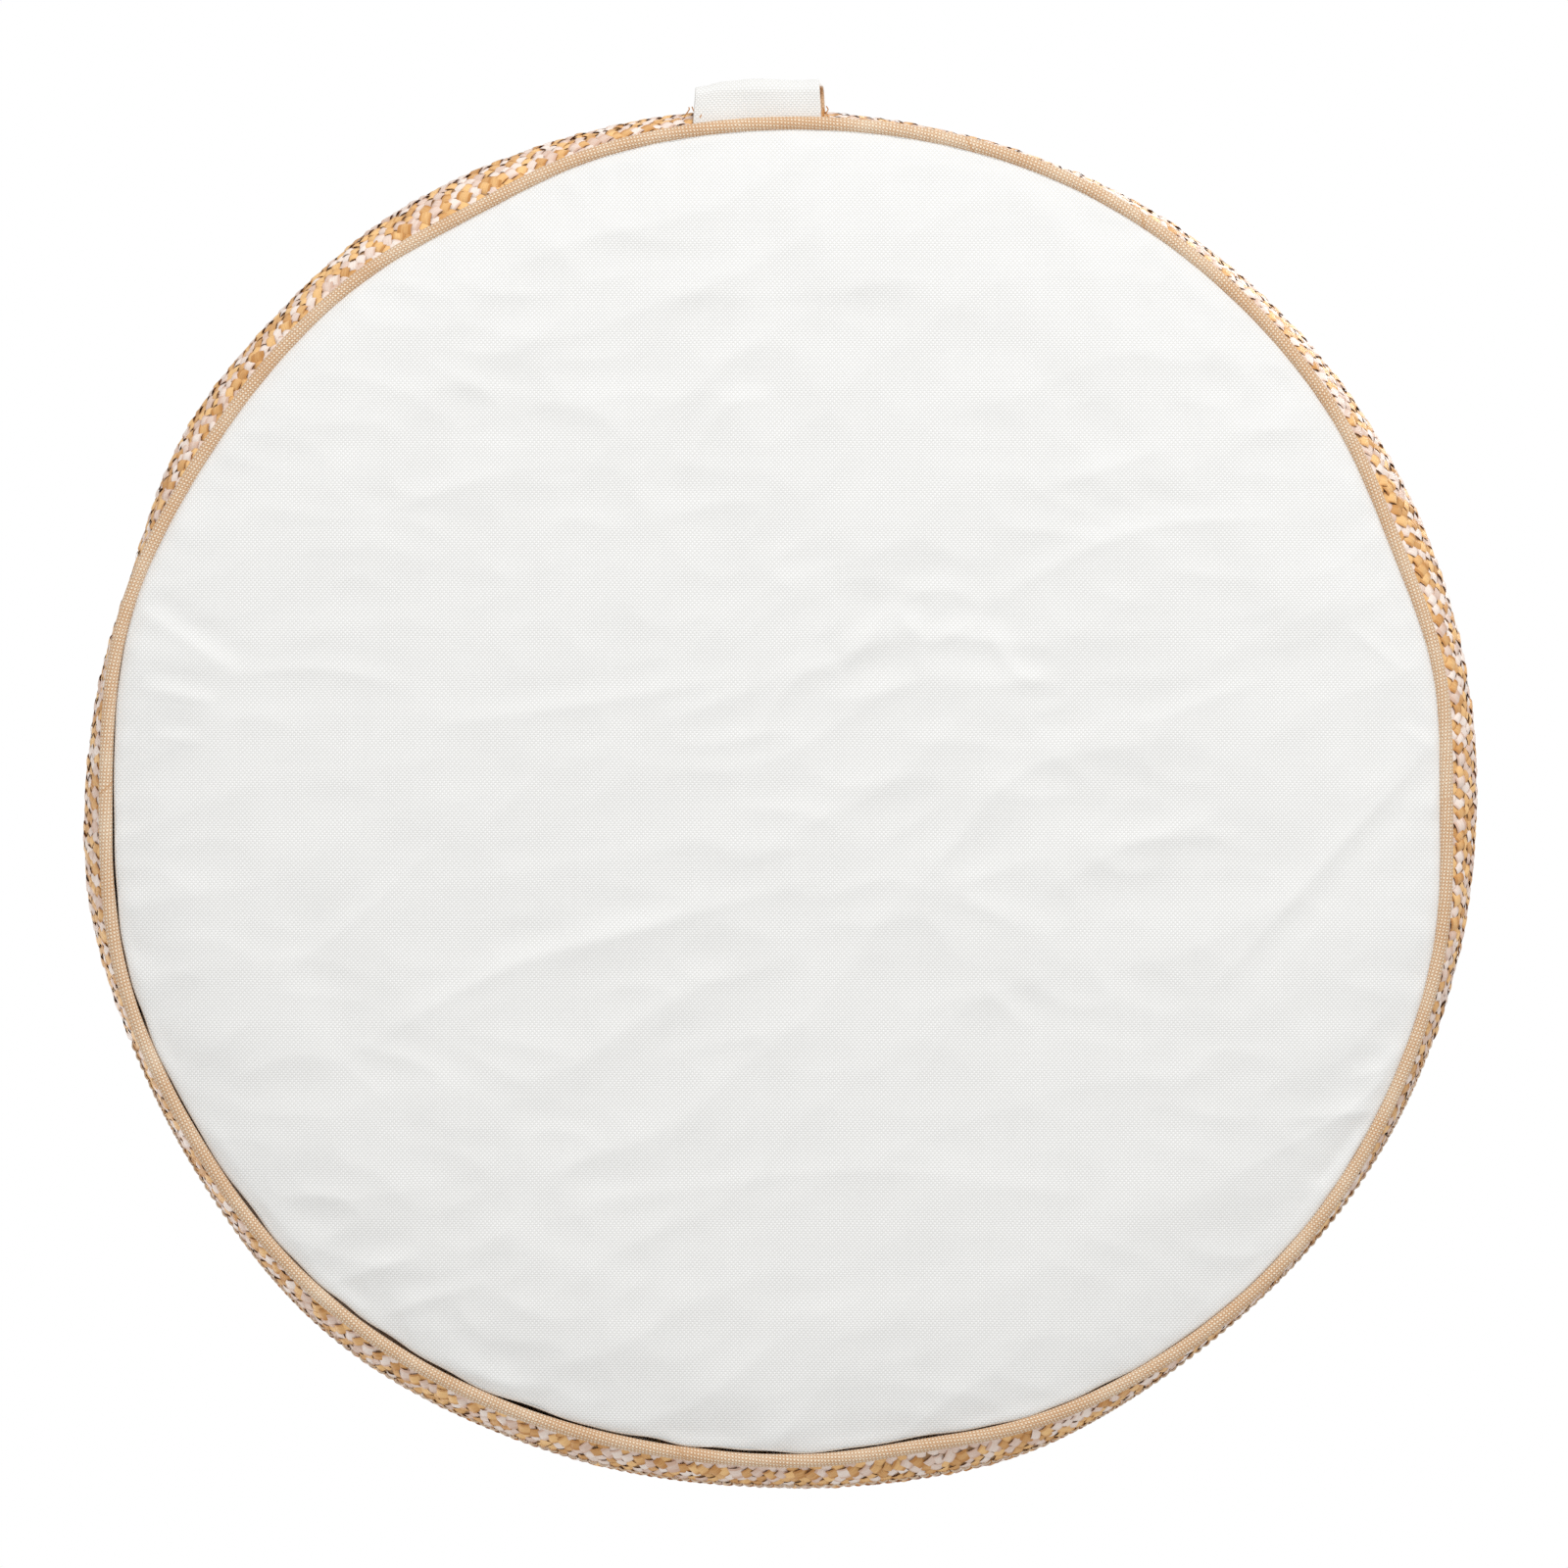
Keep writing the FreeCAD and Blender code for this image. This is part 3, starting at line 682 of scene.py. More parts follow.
def bias_paint(name):
    """Canvas on the bias: the weave turned by 45 degrees, cream crowns with tan and brown between; the brown
    in the gaps is painted shade and the lighter crossings are painted highlights.
    """
    paint, tree, shader = new_paint(name, 0.8)
    place, (u, v, w) = where(tree, "lay")
    turn_share = math.sqrt(0.5)
    across = sums(tree, "MULTIPLY", sums(tree, "ADD", u, v), turn_share)
    along = sums(tree, "MULTIPLY", sums(tree, "SUBTRACT", u, v), turn_share)
    wobble = sums(tree, "MULTIPLY_ADD", noise(tree, place, 220.0), 0.8, -0.4)
    height, turns = weave_height(tree, across, along, bias_pitch * 0.52, bias_pitch * 0.6, wobble)
    speckle = sums(tree, "SUBTRACT", noise(tree, place, 1500.0, 1.0), 0.5)
    broad = sums(tree, "SUBTRACT", noise(tree, place, 60.0, 2.0), 0.5)
    # Painted light and shade: the height darkens the gaps towards brown as painted shade, and the over-under
    # sign lightens one set of crossings as painted highlights.
    tone = sums(tree, "MULTIPLY_ADD", turns, 0.42, sums(tree, "MULTIPLY", height, 0.75))
    tone = sums(tree, "MULTIPLY_ADD", speckle, 0.6, tone)
    tone = sums(tree, "MULTIPLY_ADD", broad, 0.7, tone)
    tone = sums(tree, "MULTIPLY_ADD", tone, 1.25, -0.28)
    seam_dark = 0.0
    for at in joins:
        way = math.radians(at % 360) * seam_radius
        lean = sums(tree, "ADD", u, sums(tree, "MULTIPLY", v, 0.8))
        near = sums(tree, "ABSOLUTE", sums(tree, "SUBTRACT", lean, way))
        line = sums(tree, "SUBTRACT", 1.0, sums(tree, "MINIMUM", sums(tree, "DIVIDE", near, join_width), 1.0))
        seam_dark = sums(tree, "MAXIMUM", line, seam_dark)
    tone = sums(tree, "SUBTRACT", tone, sums(tree, "MULTIPLY", seam_dark, 0.7))
    colour = blend_colours(tree, sums(tree, "MAXIMUM", tone, 0.0), (0.68, 0.40, 0.21), (1.0, 0.88, 0.70))
    tree.links.new(colour, shader.inputs["Base Color"])
    shader.inputs["Sheen Weight"].default_value = 0.1
    raise_bumps(tree, shader, height, 0.00025)
    return paint


def cord_paint(name, colour_low, colour_high):
    """Twisted cotton: soft streaks along the fibres."""
    paint, tree, shader = new_paint(name, 0.9)
    place, axes = where(tree)
    streaks = noise(tree, place, 700.0, 3.0)
    tree.links.new(blend_colours(tree, streaks, colour_low, colour_high), shader.inputs["Base Color"])
    raise_bumps(tree, shader, streaks, 0.0001)
    return paint


bias_canvas = bias_paint("tan_bias_canvas")
cotton = cord_paint("cotton_cord_fibre", (0.62, 0.58, 0.50), (0.86, 0.83, 0.77))
for level, height in (("lower", piping_height), ("upper", piping_height + seam_rise)):
    cover = wind_ring(f"{level}_piping_cloth", height, tube_radius, ring_steps, 20, uneven=0.018, seed=3)
    cover.data.materials.append(bias_canvas)
    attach(cover, "pad")
    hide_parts(f"{level}_piping_cover")
    string = wind_ring(
        f"{level}_piping_string", height, cord_radius * 0.9, ring_steps * 2, 12,
        twist=420, lobes=3, lobe_depth=0.10,
    )
    string.data.materials.append(cotton)
    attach(string, "pad")
    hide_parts(f"{level}_piping_cord")


# Side band and seat face: one cloth, plaited from flat glossy straw-like tape in gold and pale blush
# over a brown ground painted dark as the shade in the gaps. The tapes lean one way and then the other
# from row to row. The band bulges between the pipings, and its back half is in two strips that fold in at the
# zip.

band_middle = 0.025
band_mean = 0.1997
band_foot_out = 0.0011
band_foot_z = 0.0086
zip_from, zip_to = 20.0, 160.0
zip_half_gap = 0.005
ground_depth = 0.0006
stitch_run = 0.0032
row_space = 0.0027
band_half = band_middle - band_foot_z
leaf_sink = 0.0007
swapped_share = 0.16

# Where the band's outline strays from a circle: angle, outward shift in mm, spread in degrees
band_strays = (
    (-80, -2.8, 13), (-125, 2.6, 9), (-147, 2.4, 7), (-161, -2.0, 5), (172, 2.4, 7), (130, 3.2, 9),
    (93, -1.4, 7), (70, 1.7, 6), (48, -1.7, 10), (10, -0.8, 15),
)


def band_line(angle):
    """How far out the band bulges at an angle in radians: its mean plus one bell for each stray."""
    degrees = np.degrees(angle)
    shift = sum(mm * bell(turned(degrees, at), 0.0, spread) for at, mm, spread in band_strays)
    return band_mean + shift * 0.0009


def band_point(angle, share, depth=0.0):
    """Points and outward directions on the band: an arc of a circle from the lower piping to the upper.

    Its half chord h is half the seams' spacing less the pipings, its bulge b is how far the middle
    stands out past the feet, and its radius is (h^2 + b^2) / 2b. share runs from -1 to 1.
    """
    foot = seam_line(angle) + band_foot_out
    bulge = band_line(angle) - foot
    radius = (band_half ** 2 + bulge ** 2) / (2 * bulge)
    lean = np.arcsin(band_half / radius) * share
    out = band_line(angle) - radius + (radius - depth) * np.cos(lean)
    height = band_middle + (radius - depth) * np.sin(lean)
    place = np.stack([out * np.cos(angle), out * np.sin(angle), height], axis=-1)
    facing = np.stack([np.cos(lean) * np.cos(angle), np.cos(lean) * np.sin(angle), np.sin(lean)], axis=-1)
    return place, facing


def plait(name, place, along, facing, length, width, rise, tone):
    """One leaf of flat tape for each place: 6 faces along by 2 across, arched so that its ends dive.

    Along it s runs from -1 to 1 and across it t: the half width is W/2 (1 - 0.35 s^4), and the height
    is rise (1 - 1.9 s^2) plus a crown of 0.1 mm (1 - t^2).
    """
    count = len(place)
    s, t = np.meshgrid(np.linspace(-1, 1, 7), np.linspace(-1, 1, 3), indexing="ij")
    s, t = s.ravel()[None, :, None], t.ravel()[None, :, None]
    across = np.cross(facing, along)
    length, width, rise = (np.broadcast_to(v, count)[:, None, None] for v in (length, width, rise))
    side_way = width / 2 * (1 - 0.35 * s ** 4) * t
    lift = rise * (1 - 1.9 * s ** 2) + 0.0001 * (1 - t ** 2)
    points = place[:, None] + along[:, None] * (length / 2 * s) + across[:, None] * side_way
    points = points + facing[:, None] * lift
    leaf = sheet_faces(7, 3, flip=True)
    mesh_faces = (leaf[None] + 21 * np.arange(count)[:, None, None]).reshape(-1, 4)
    number = np.arange(count)[:, None, None]
    lay = np.stack([(length / 2 * s + 0.013 * number)[..., 0], (side_way + 0.0 * number)[..., 0]], axis=-1)
    return put_mesh(name, points, mesh_faces, uv=lay, attributes={"tone": np.repeat(tone, 21)})


def unit(v):
    """Directions scaled to length 1."""
    return v / np.linalg.norm(v, axis=-1, keepdims=True)


def lean_along(first, second, degrees):
    """A direction turned from the first towards the second by that many degrees."""
    turn = np.radians(degrees)[:, None]
    return unit(first * np.cos(turn) + second * np.sin(turn))


def tape_paint(name, shade, light, gloss):
    """Glossy flat tape with fine striations along it, each leaf a little darker or lighter, and painted shade
    darkening its long edges.
    """
    paint, tree, shader = new_paint(name, gloss)
    place, (u, v, w) = where(tree, "lay")
    streaks = noise(tree, place, 1.0, 3.0, (260.0, 5200.0, 1.0))
    own = tree.nodes.new("ShaderNodeAttribute")
    own.attribute_name = "tone"
    amount = sums(tree, "MULTIPLY_ADD", sums(tree, "SUBTRACT", streaks, 0.5), 1.5, own.outputs["Fac"])
    # Painted shade: each leaf darkens towards its long edges, where it meets and dives under its neighbours.
    edge = sums(tree, "DIVIDE", sums(tree, "ABSOLUTE", v), 0.0016)
    edge = sums(tree, "POWER", sums(tree, "MINIMUM", edge, 1.0), 4.0)
    amount = sums(tree, "SUBTRACT", amount, sums(tree, "MULTIPLY", edge, 0.8))
    amount = sums(tree, "MINIMUM", sums(tree, "MAXIMUM", amount, 0.0), 1.0)
    tree.links.new(blend_colours(tree, amount, shade, light), shader.inputs["Base Color"])
    shader.inputs["Specular IOR Level"].default_value = 0.25
    raise_bumps(tree, shader, streaks, 0.00012)
    return paint


def ground_paint(name):
    """The brown ground that shows in the gaps between the tapes, painted dark as the shade in those gaps."""
    paint, tree, shader = new_paint(name, 0.85)
    place, axes = where(tree)
    grain = noise(tree, place, 1400.0, 2.0)
    # Painted shade: the ground's dark brown stands for the shade in the gaps between the tapes.
    brown = blend_colours(tree, grain, (0.30, 0.155, 0.07), (0.58, 0.36, 0.19))
    tree.links.new(brown, shader.inputs["Base Color"])
    raise_bumps(tree, shader, grain, 0.0002)
    return paint


gold_tape = tape_paint("gold_tape", (0.60, 0.28, 0.085), (1.0, 0.63, 0.28), 0.40)
blush_tape = tape_paint("blush_tape", (0.74, 0.50, 0.38), (1.0, 0.88, 0.80), 0.40)
shaded_gap_ground = ground_paint("shaded_gap_ground")
band_random = np.random.default_rng(11)


def mixed(random, count, spread):
    """That many even random numbers between minus and plus the spread."""
    return random.uniform(-spread, spread, count)


def row_leans(random, row, spread):
    """How far each leaf leans, in degrees: 38 one way in even rows and 38 the other way in odd ones."""
    return np.where(row % 2 == 0, 38.0, -38.0) + mixed(random, len(row), spread)


def leaf_sizes(random, row):
    """Length, width and rise of each leaf: one row in four is of broader tape, and all are uneven."""
    big = row % 4 == 1
    length = np.where(big, 0.0064, 0.0054) * (1 + mixed(random, len(row), 0.2))
    width = np.where(big, 0.0037, 0.0029) * (1 + mixed(random, len(row), 0.28))
    rise = np.where(big, 0.00085, 0.0006) * (1 + mixed(random, len(row), 0.25))
    return length, width, rise


def leaf_colours(random, row, column):
    """Which leaves are pale, every other one apart from some swapped by chance, and each one's tone."""
    pale = ((column + row // 2) % 2 == 0) ^ (random.random(len(row)) < swapped_share)
    return pale, np.clip(0.66 + mixed(random, len(row), 0.44), 0, 1)


band_rows = 14
band_columns = 392
row, column = (a.ravel() for a in np.meshgrid(np.arange(band_rows), np.arange(band_columns), indexing="ij"))
stitches = len(row)
stitch_angle = np.radians((column + 0.5 * (row % 2)) / band_columns * 360 - 180)
stitch_angle = stitch_angle + mixed(band_random, stitches, 0.0034)
row_share = ((row + 0.5) / band_rows * 2 - 1) * 0.985 + mixed(band_random, stitches, 0.022)
zip_side = (np.degrees(stitch_angle) > zip_from) & (np.degrees(stitch_angle) < zip_to)
stitch_place, stitch_facing = band_point(stitch_angle, row_share, leaf_sink)
near_zip = zip_side & (np.abs(stitch_place[:, 2] - band_middle) < zip_half_gap + 0.0009)
round_way = np.stack([-np.sin(stitch_angle), np.cos(stitch_angle), np.zeros(stitches)], axis=-1)
up_way = unit(-np.cross(stitch_facing, round_way))
stitch_along = lean_along(round_way, up_way, row_leans(band_random, row, 27.0))
stitch_length, stitch_width, stitch_rise = leaf_sizes(band_random, row)
pale, tone = leaf_colours(band_random, row, column)
for colour_name, paint, chosen in (("gold", gold_tape, ~pale), ("blush", blush_tape, pale)):
    kept = chosen & ~near_zip
    plaited = plait(
        f"band_{colour_name}_tape", stitch_place[kept], stitch_along[kept], stitch_facing[kept],
        stitch_length[kept], stitch_width[kept], stitch_rise[kept], tone[kept],
    )
    plaited.data.materials.append(paint)
    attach(plaited, "pad")
    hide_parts("front_band", "zip_band_lower", "zip_band_upper")

# The band's ground under the tapes, painted dark brown as the shade between them.
front_angles = np.radians(np.linspace(zip_to, 360 + zip_from, 400))
a, s = np.meshgrid(front_angles, np.linspace(-1, 1, 24), indexing="ij")
front_ground = put_mesh("front_band_ground", band_point(a, s, ground_depth)[0], sheet_faces(400, 24))
front_ground.data.materials.append(shaded_gap_ground)
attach(front_ground, "pad")
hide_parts("front_band")

hem_thickness = 0.002
hem_width = 0.0085


def half_band(name, upper):
    """One strip of the back band: up the arc to the zip, round a half circle and back down inside."""
    angles = np.radians(np.linspace(zip_from, zip_to, 260))
    sign = 1.0 if upper else -1.0
    face_lean = zip_half_gap / band_half * 1.04
    outer = np.linspace(1.0, face_lean, 16)
    inner = np.linspace(face_lean, face_lean + hem_width / band_half * 0.92, 8)
    roll = np.linspace(0, np.pi, 9)[1:-1]
    share = np.concatenate([outer, face_lean - 0.055 * np.sin(roll), inner])
    fold = hem_thickness / 2 * (1 - np.cos(roll))
    depth = ground_depth + np.concatenate([np.zeros(16), fold, np.full(8, hem_thickness)])
    a, s = np.meshgrid(angles, share * sign, indexing="ij")
    strip = put_mesh(name, band_point(a, s, depth[None])[0], sheet_faces(len(angles), len(share), flip=upper))
    # Painted shade: the strip takes the dark ground of the gaps between the tapes.
    strip.data.materials.append(shaded_gap_ground)
    return strip


for level in ("lower", "upper"):
    strip = half_band(f"{level}_back_ground", level == "upper")
    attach(strip, "pad")
    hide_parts(f"zip_band_{level}")

hem_random = np.random.default_rng(17)
hem_columns = 168
row, column = (a.ravel() for a in np.meshgrid(np.array([-1, 1]), np.arange(hem_columns), indexing="ij"))
hem_angle = np.radians(zip_from + 0.4 + (column + 0.5) / hem_columns * (zip_to - zip_from - 0.8))
hem_place, hem_facing = band_point(hem_angle, row * (zip_half_gap / band_half * 1.14), 0.0010)
hem_round = np.stack([-np.sin(hem_angle), np.cos(hem_angle), np.zeros(len(row))], axis=-1)
hem_facing = unit(hem_facing - np.array([0, 0, 0.9]) * row[:, None])
hem_up = unit(np.cross(hem_round, hem_facing))
hem_lean = 24.0 * row + mixed(hem_random, len(row), 8.0)
hem_along = lean_along(hem_round, hem_up, hem_lean)
hem_pale = (column % 2 == 0) ^ (hem_random.random(len(row)) < swapped_share)
hem_tone = np.clip(0.6 + mixed(hem_random, len(row), 0.34), 0, 1)
for colour_name, paint, chosen in (("gold", gold_tape, ~hem_pale), ("blush", blush_tape, hem_pale)):
    plaited = plait(
        f"hem_{colour_name}_tape", hem_place[chosen], hem_along[chosen], hem_facing[chosen],
        0.0044, 0.0025, 0.0006, hem_tone[chosen],
    )
    plaited.data.materials.append(paint)
    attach(plaited, "pad")
    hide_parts("zip_band_lower", "zip_band_upper")

seat_edge_z = 0.0461
seat_top_z = 0.052
seat_flat = 0.125
seat_gap = 0.0017
seat_ground_drop = ground_depth + 0.0004
seat_span = 0.393
steepest = 0.5


def seat_profile(r):
    """Height of the seat face at a radius: flat, then part parabola and part ellipse down to the seam."""
    t = np.clip((r - seat_flat) / (panel_radius - seat_flat), 0.0, 1.0)
    return seat_top_z - (seat_top_z - seat_edge_z) * (0.6 * t ** 2 + 0.4 * (1 - np.sqrt(1 - t ** 2)))


def seat_relief(x, y):
    """Broad soft hollows of a sat-on pad, in mm: three long waves and the rim of the insert."""
    r = np.hypot(x, y)
    waves = np.sin(x / 31 + 0.8 * np.sin(y / 44)) + np.sin(y / 27 + 1.3) + 0.7 * np.sin((x + y) / 19)
    return (0.28 * waves + 0.35 * bell(r, 150, 6)) * smooth_step((185 - r) / 40)


def seat_height(x, y):
    """Height in metres of the seat face above a point in metres."""
    return seat_profile(np.hypot(x, y)) + seat_relief(x * 1000, y * 1000) * 0.001


# The seat's ground and its turned-in edge take the same dark ground, painted as the shade in the gaps.
seat_ground = cloth_disc(
    "seat_ground", 150, lambda angle: seat_gap, lambda r: seat_profile(r) - seat_ground_drop,
    seat_relief, False,
)
seat_tuck = turned_in_edge(
    "seat_turned_in_edge", lambda angle: seat_gap, seat_edge_z - seat_ground_drop,
    (-0.0010, -0.0003, 0.0, 0.0001), (0.0007, -0.0002, -0.0014, -0.0035), False,
)
seat_tuck.data.materials.append(shaded_gap_ground)
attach(seat_tuck, "pad")
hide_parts("seat_panel")
seat_ground.data.materials.append(shaded_gap_ground)
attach(seat_ground, "pad")
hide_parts("seat_panel")

seat_random = np.random.default_rng(23)
seat_rows = int(seat_span / row_space)
seat_columns = int(seat_span / stitch_run)
row, column = (a.ravel() for a in np.meshgrid(np.arange(seat_rows), np.arange(seat_columns), indexing="ij"))
seat_x = (column - seat_columns / 2 + 0.5 * (row % 2)) * stitch_run + mixed(seat_random, len(row), 0.0003)
seat_y = (row - seat_rows / 2 + 0.5) * row_space + mixed(seat_random, len(row), 0.0002)
inside = np.hypot(seat_x, seat_y) < seam_line(np.arctan2(seat_y, seat_x)) - 0.0020
seat_x, seat_y, row, column = seat_x[inside], seat_y[inside], row[inside], column[inside]
stitches = len(row)
step = 0.001
slope_x = (seat_height(seat_x + step, seat_y) - seat_height(seat_x - step, seat_y)) / (2 * step)
slope_y = (seat_height(seat_x, seat_y + step) - seat_height(seat_x, seat_y - step)) / (2 * step)
slope_x, slope_y = (np.clip(slope, -steepest, steepest) for slope in (slope_x, slope_y))
seat_facing = unit(np.stack([-slope_x, -slope_y, np.ones(stitches)], axis=-1))
seat_place = np.stack([seat_x, seat_y, seat_height(seat_x, seat_y) - leaf_sink], axis=-1)
first = unit(np.stack([np.ones(stitches), np.zeros(stitches), slope_x], axis=-1))
seat_along = lean_along(first, np.cross(seat_facing, first), row_leans(seat_random, row, 25.0))
pale, tone = leaf_colours(seat_random, row, column)
seat_length, seat_width, seat_lift = leaf_sizes(seat_random, row)
for colour_name, paint, chosen in (("gold", gold_tape, ~pale), ("blush", blush_tape, pale)):
    plaited = plait(
        f"seat_{colour_name}_tape", seat_place[chosen], seat_along[chosen], seat_facing[chosen],
        seat_length[chosen], seat_width[chosen], seat_lift[chosen], tone[chosen],
    )
    plaited.data.materials.append(paint)
    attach(plaited, "pad")
    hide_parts("seat_panel")


# Carrying loop: a strip of the same off-white canvas folded flat to a strap, bent into a low loop and
# sewn into both seams at the front. It leans a little, and a few threads stand out at its feet.

strap_width = 0.0368
strap_middle_x = -0.0076
strap_thickness = 0.0012
strap_face_y = -0.2049
strap_low_z, strap_high_z = 0.0097, 0.0403
strap_corner = 0.0030
strap_tail_y = -0.1856


def rounded_path(corners, radius, count):
    """Points evenly spaced along straight runs whose corners are quarter circles of a radius."""
    corners = np.asarray(corners, dtype=float)
    pieces = [corners[:1]]
    for before, at, after in zip(corners[:-2], corners[1:-1], corners[2:]):
        a, b = unit(before - at), unit(after - at)
        centre = at + (a + b) * radius
        turn = np.linspace(0, np.pi / 2, 12)[:, None]
        pieces.append(centre - b * radius * np.cos(turn) - a * radius * np.sin(turn))
    pieces.append(corners[-1:])
    line = np.vstack(pieces)
    way = np.append(0, np.cumsum(np.linalg.norm(np.diff(line, axis=0), axis=1)))
    even = np.linspace(0, way[-1], count)
    return np.stack([np.interp(even, way, line[:, k]) for k in range(line.shape[1])], axis=-1), even


strap_steps = 150
strap_line, strap_way = rounded_path(
    [
        (strap_tail_y, strap_low_z), (strap_face_y, strap_low_z),
        (strap_face_y, strap_high_z), (strap_tail_y, strap_high_z),
    ],
    strap_corner, strap_steps,
)
run = unit(np.gradient(strap_line, axis=0))
outward = np.stack([-run[:, 1], run[:, 0]], axis=-1)
loop_middle = np.array([-0.195, band_middle])
outward = outward * np.sign((outward * (strap_line - loop_middle)).sum(1, keepdims=True))
edge_half = strap_thickness / 2
flat_run = np.linspace(-1, 1, 40) * (strap_width / 2 - edge_half)
cap = np.linspace(-np.pi / 2, np.pi / 2, 7)[1:-1]
cap_out, cap_up = edge_half * np.cos(cap), edge_half * np.sin(cap)
ring_x = np.concatenate([flat_run, flat_run[-1] + cap_out, flat_run[::-1], flat_run[0] - cap_out])
ring_n = np.concatenate([np.full(40, -edge_half), cap_up, np.full(40, edge_half), -cap_up])
way, across = np.meshgrid(np.linspace(0, 1, strap_steps), ring_x, indexing="ij")
bend_out = smooth_step((strap_tail_y - strap_line[:, 0] - 0.006) / 0.014)[:, None]
ripple = 0.00035 * np.sin(across * 260 + way * 5) + 0.00025 * np.sin(across * 140 - way * 9)
wave = 0.0007 * np.sin(across * 95 + 0.4) * np.sin(np.pi * way)
off = ring_n[None, :] + ripple * bend_out + wave * bend_out
strap_x = strap_middle_x + across * (1 - 0.035 * bend_out) + 0.0015 * smooth_step((way - 0.55) / 0.2)
left_round = 0.0016 * bend_out ** 3 * smooth_step((-across / (strap_width / 2) - 0.55) / 0.45)
strap_y = strap_line[:, :1] + outward[:, :1] * off + left_round
strap_z = strap_line[:, 1:] + outward[:, 1:] * off
strap_points = np.stack([strap_x, strap_y, strap_z], axis=-1)
ring_sides = len(ring_x)
strap_faces = sheet_faces(strap_steps, ring_sides, wrap_columns=True)
lay = np.stack([across, strap_way[:, None] + 0 * across], axis=-1)
# Painted shade: the loop's inner side is tinted tan, standing for the shade inside the loop warmed by light
# from the gold band.
shaded_inner_side = np.broadcast_to(smooth_step(-ring_n / edge_half), across.shape)
strap = put_mesh("carrying_loop", strap_points, strap_faces, uv=lay, attributes={"shaded_inner_side": shaded_inner_side})
strap_canvas = canvas_paint(
    "strap_canvas", "lay", (0.72, 0.713, 0.69), (0.96, 0.955, 0.94),
    thread_pitch_x, thread_pitch_y, 0.12, 0.00012,
)
tree = strap_canvas.node_tree
shader = tree.nodes["Principled BSDF"]
woven_white = shader.inputs["Base Color"].links[0].from_socket
# Painted shade: the inner side's tint multiplies the woven white towards tan.
back = tree.nodes.new("ShaderNodeAttribute")
back.attribute_name = "shaded_inner_side"
tinted = tree.nodes.new("ShaderNodeMix")
tinted.data_type = "RGBA"
tinted.blend_type = "MULTIPLY"
tinted.inputs["B"].default_value = (0.80, 0.55, 0.34, 1.0)
tree.links.new(back.outputs["Fac"], tinted.inputs["Factor"])
tree.links.new(woven_white, tinted.inputs["A"])
tree.links.new(tinted.outputs["Result"], shader.inputs["Base Color"])
strap.data.materials.append(strap_canvas)
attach(strap, "pad")
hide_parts("strap_loop")


def run_tube(points, radius, sides):
    """A thread along a line: a circle carried along it, level with a frame turned to each step."""
    points = np.asarray(points, dtype=float)
    ahead = unit(np.gradient(points, axis=0))
    level = unit(np.cross(ahead, np.array([0.01, 0.02, 1.0])))
    up = np.cross(ahead, level)
    side = np.linspace(0, 2 * np.pi, sides, endpoint=False)[None, :, None]
    return points[:, None] + radius * (level[:, None] * np.cos(side) + up[:, None] * np.sin(side))


def thread_piece(name, lines, radius, sides, closed=False):
    """Several threads of equal steps as one mesh."""
    tubes = np.stack([run_tube(line, radius, sides) for line in lines])
    count, steps = tubes.shape[:2]
    one = sheet_faces(steps, sides, wrap_rows=closed, wrap_columns=True)
    first_point = steps * sides * np.arange(count)[:, None, None]
    return put_mesh(name, tubes, (one[None] + first_point).reshape(-1, 4))


foot_random = np.random.default_rng(31)
loose = []
for foot_x in (strap_middle_x - strap_width / 2, strap_middle_x + strap_width / 2):
    for k in range(4):
        aside = foot_random.uniform(-0.0025, 0.0025)
        start = np.array([foot_x + aside, -0.1945, 0.0098 + foot_random.uniform(-0.001, 0.0015)])
        sway = foot_random.normal(size=(3, 3)) * (0.0008, 0.0004, 0.0005)
        knots = start + np.cumsum(np.vstack([np.zeros(3), sway + (0.0, -0.0009, 0.0)]), axis=0)
        loose.append(spline(knots, 14))
yarn = thread_piece("strap_foot_threads", loose, 0.00017, 6)
yarn.data.materials.append(gold_tape)
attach(yarn, "pad")
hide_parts("strap_loop")


# Zip: two woven tapes set behind the folded hems, each edged with a nylon spiral. Metal stops close
# both ends, and a small antique-brass slider with a hinged pull runs between them.

tape_face = 0.0048
tape_inner_edge = 0.00015
tape_outer_edge = 0.0110
coil_r = 0.0009
coil_wire = 0.00033
coil_pitch = 0.00125
coil_line_radius = 0.1949
coil_from, coil_to = 21.5, 158.5


def zip_wall(angle, z, depth):
    """A point behind the band's middle bulge: its radius there less the depth, at that height."""
    cad_arc, cad_centre = 0.02018, 0.17942
    r = cad_centre + np.sqrt((cad_arc - depth) ** 2 - (z - band_middle) ** 2)
    return np.stack([r * np.cos(angle), r * np.sin(angle), z + 0 * angle], axis=-1)


def tape_weave(name):
    """Herringbone-like zip tape: fine ribs across it, crossed by threads, with painted shade darkening the
    gaps between them.
    """
    paint, tree, shader = new_paint(name, 0.8)
    place, (u, v, w) = where(tree, "lay")
    height, turns = weave_height(tree, u, v, 0.00045, 0.00038)
    # Painted shade: the weave's height darkens the gaps between threads.
    brown = blend_colours(tree, height, (0.36, 0.22, 0.12), (0.66, 0.46, 0.29))
    tree.links.new(brown, shader.inputs["Base Color"])
    raise_bumps(tree, shader, height, 0.0001)
    return paint


def nylon_paint(name):
    """Slightly shiny nylon, a shade darker than the tape, with faint scuffs."""
    paint, tree, shader = new_paint(name, 0.35)
    place, axes = where(tree)
    scuffs = noise(tree, place, 400.0, 3.0)
    brown = blend_colours(tree, scuffs, (0.33, 0.19, 0.10), (0.52, 0.33, 0.19))
    tree.links.new(brown, shader.inputs["Base Color"])
    return paint


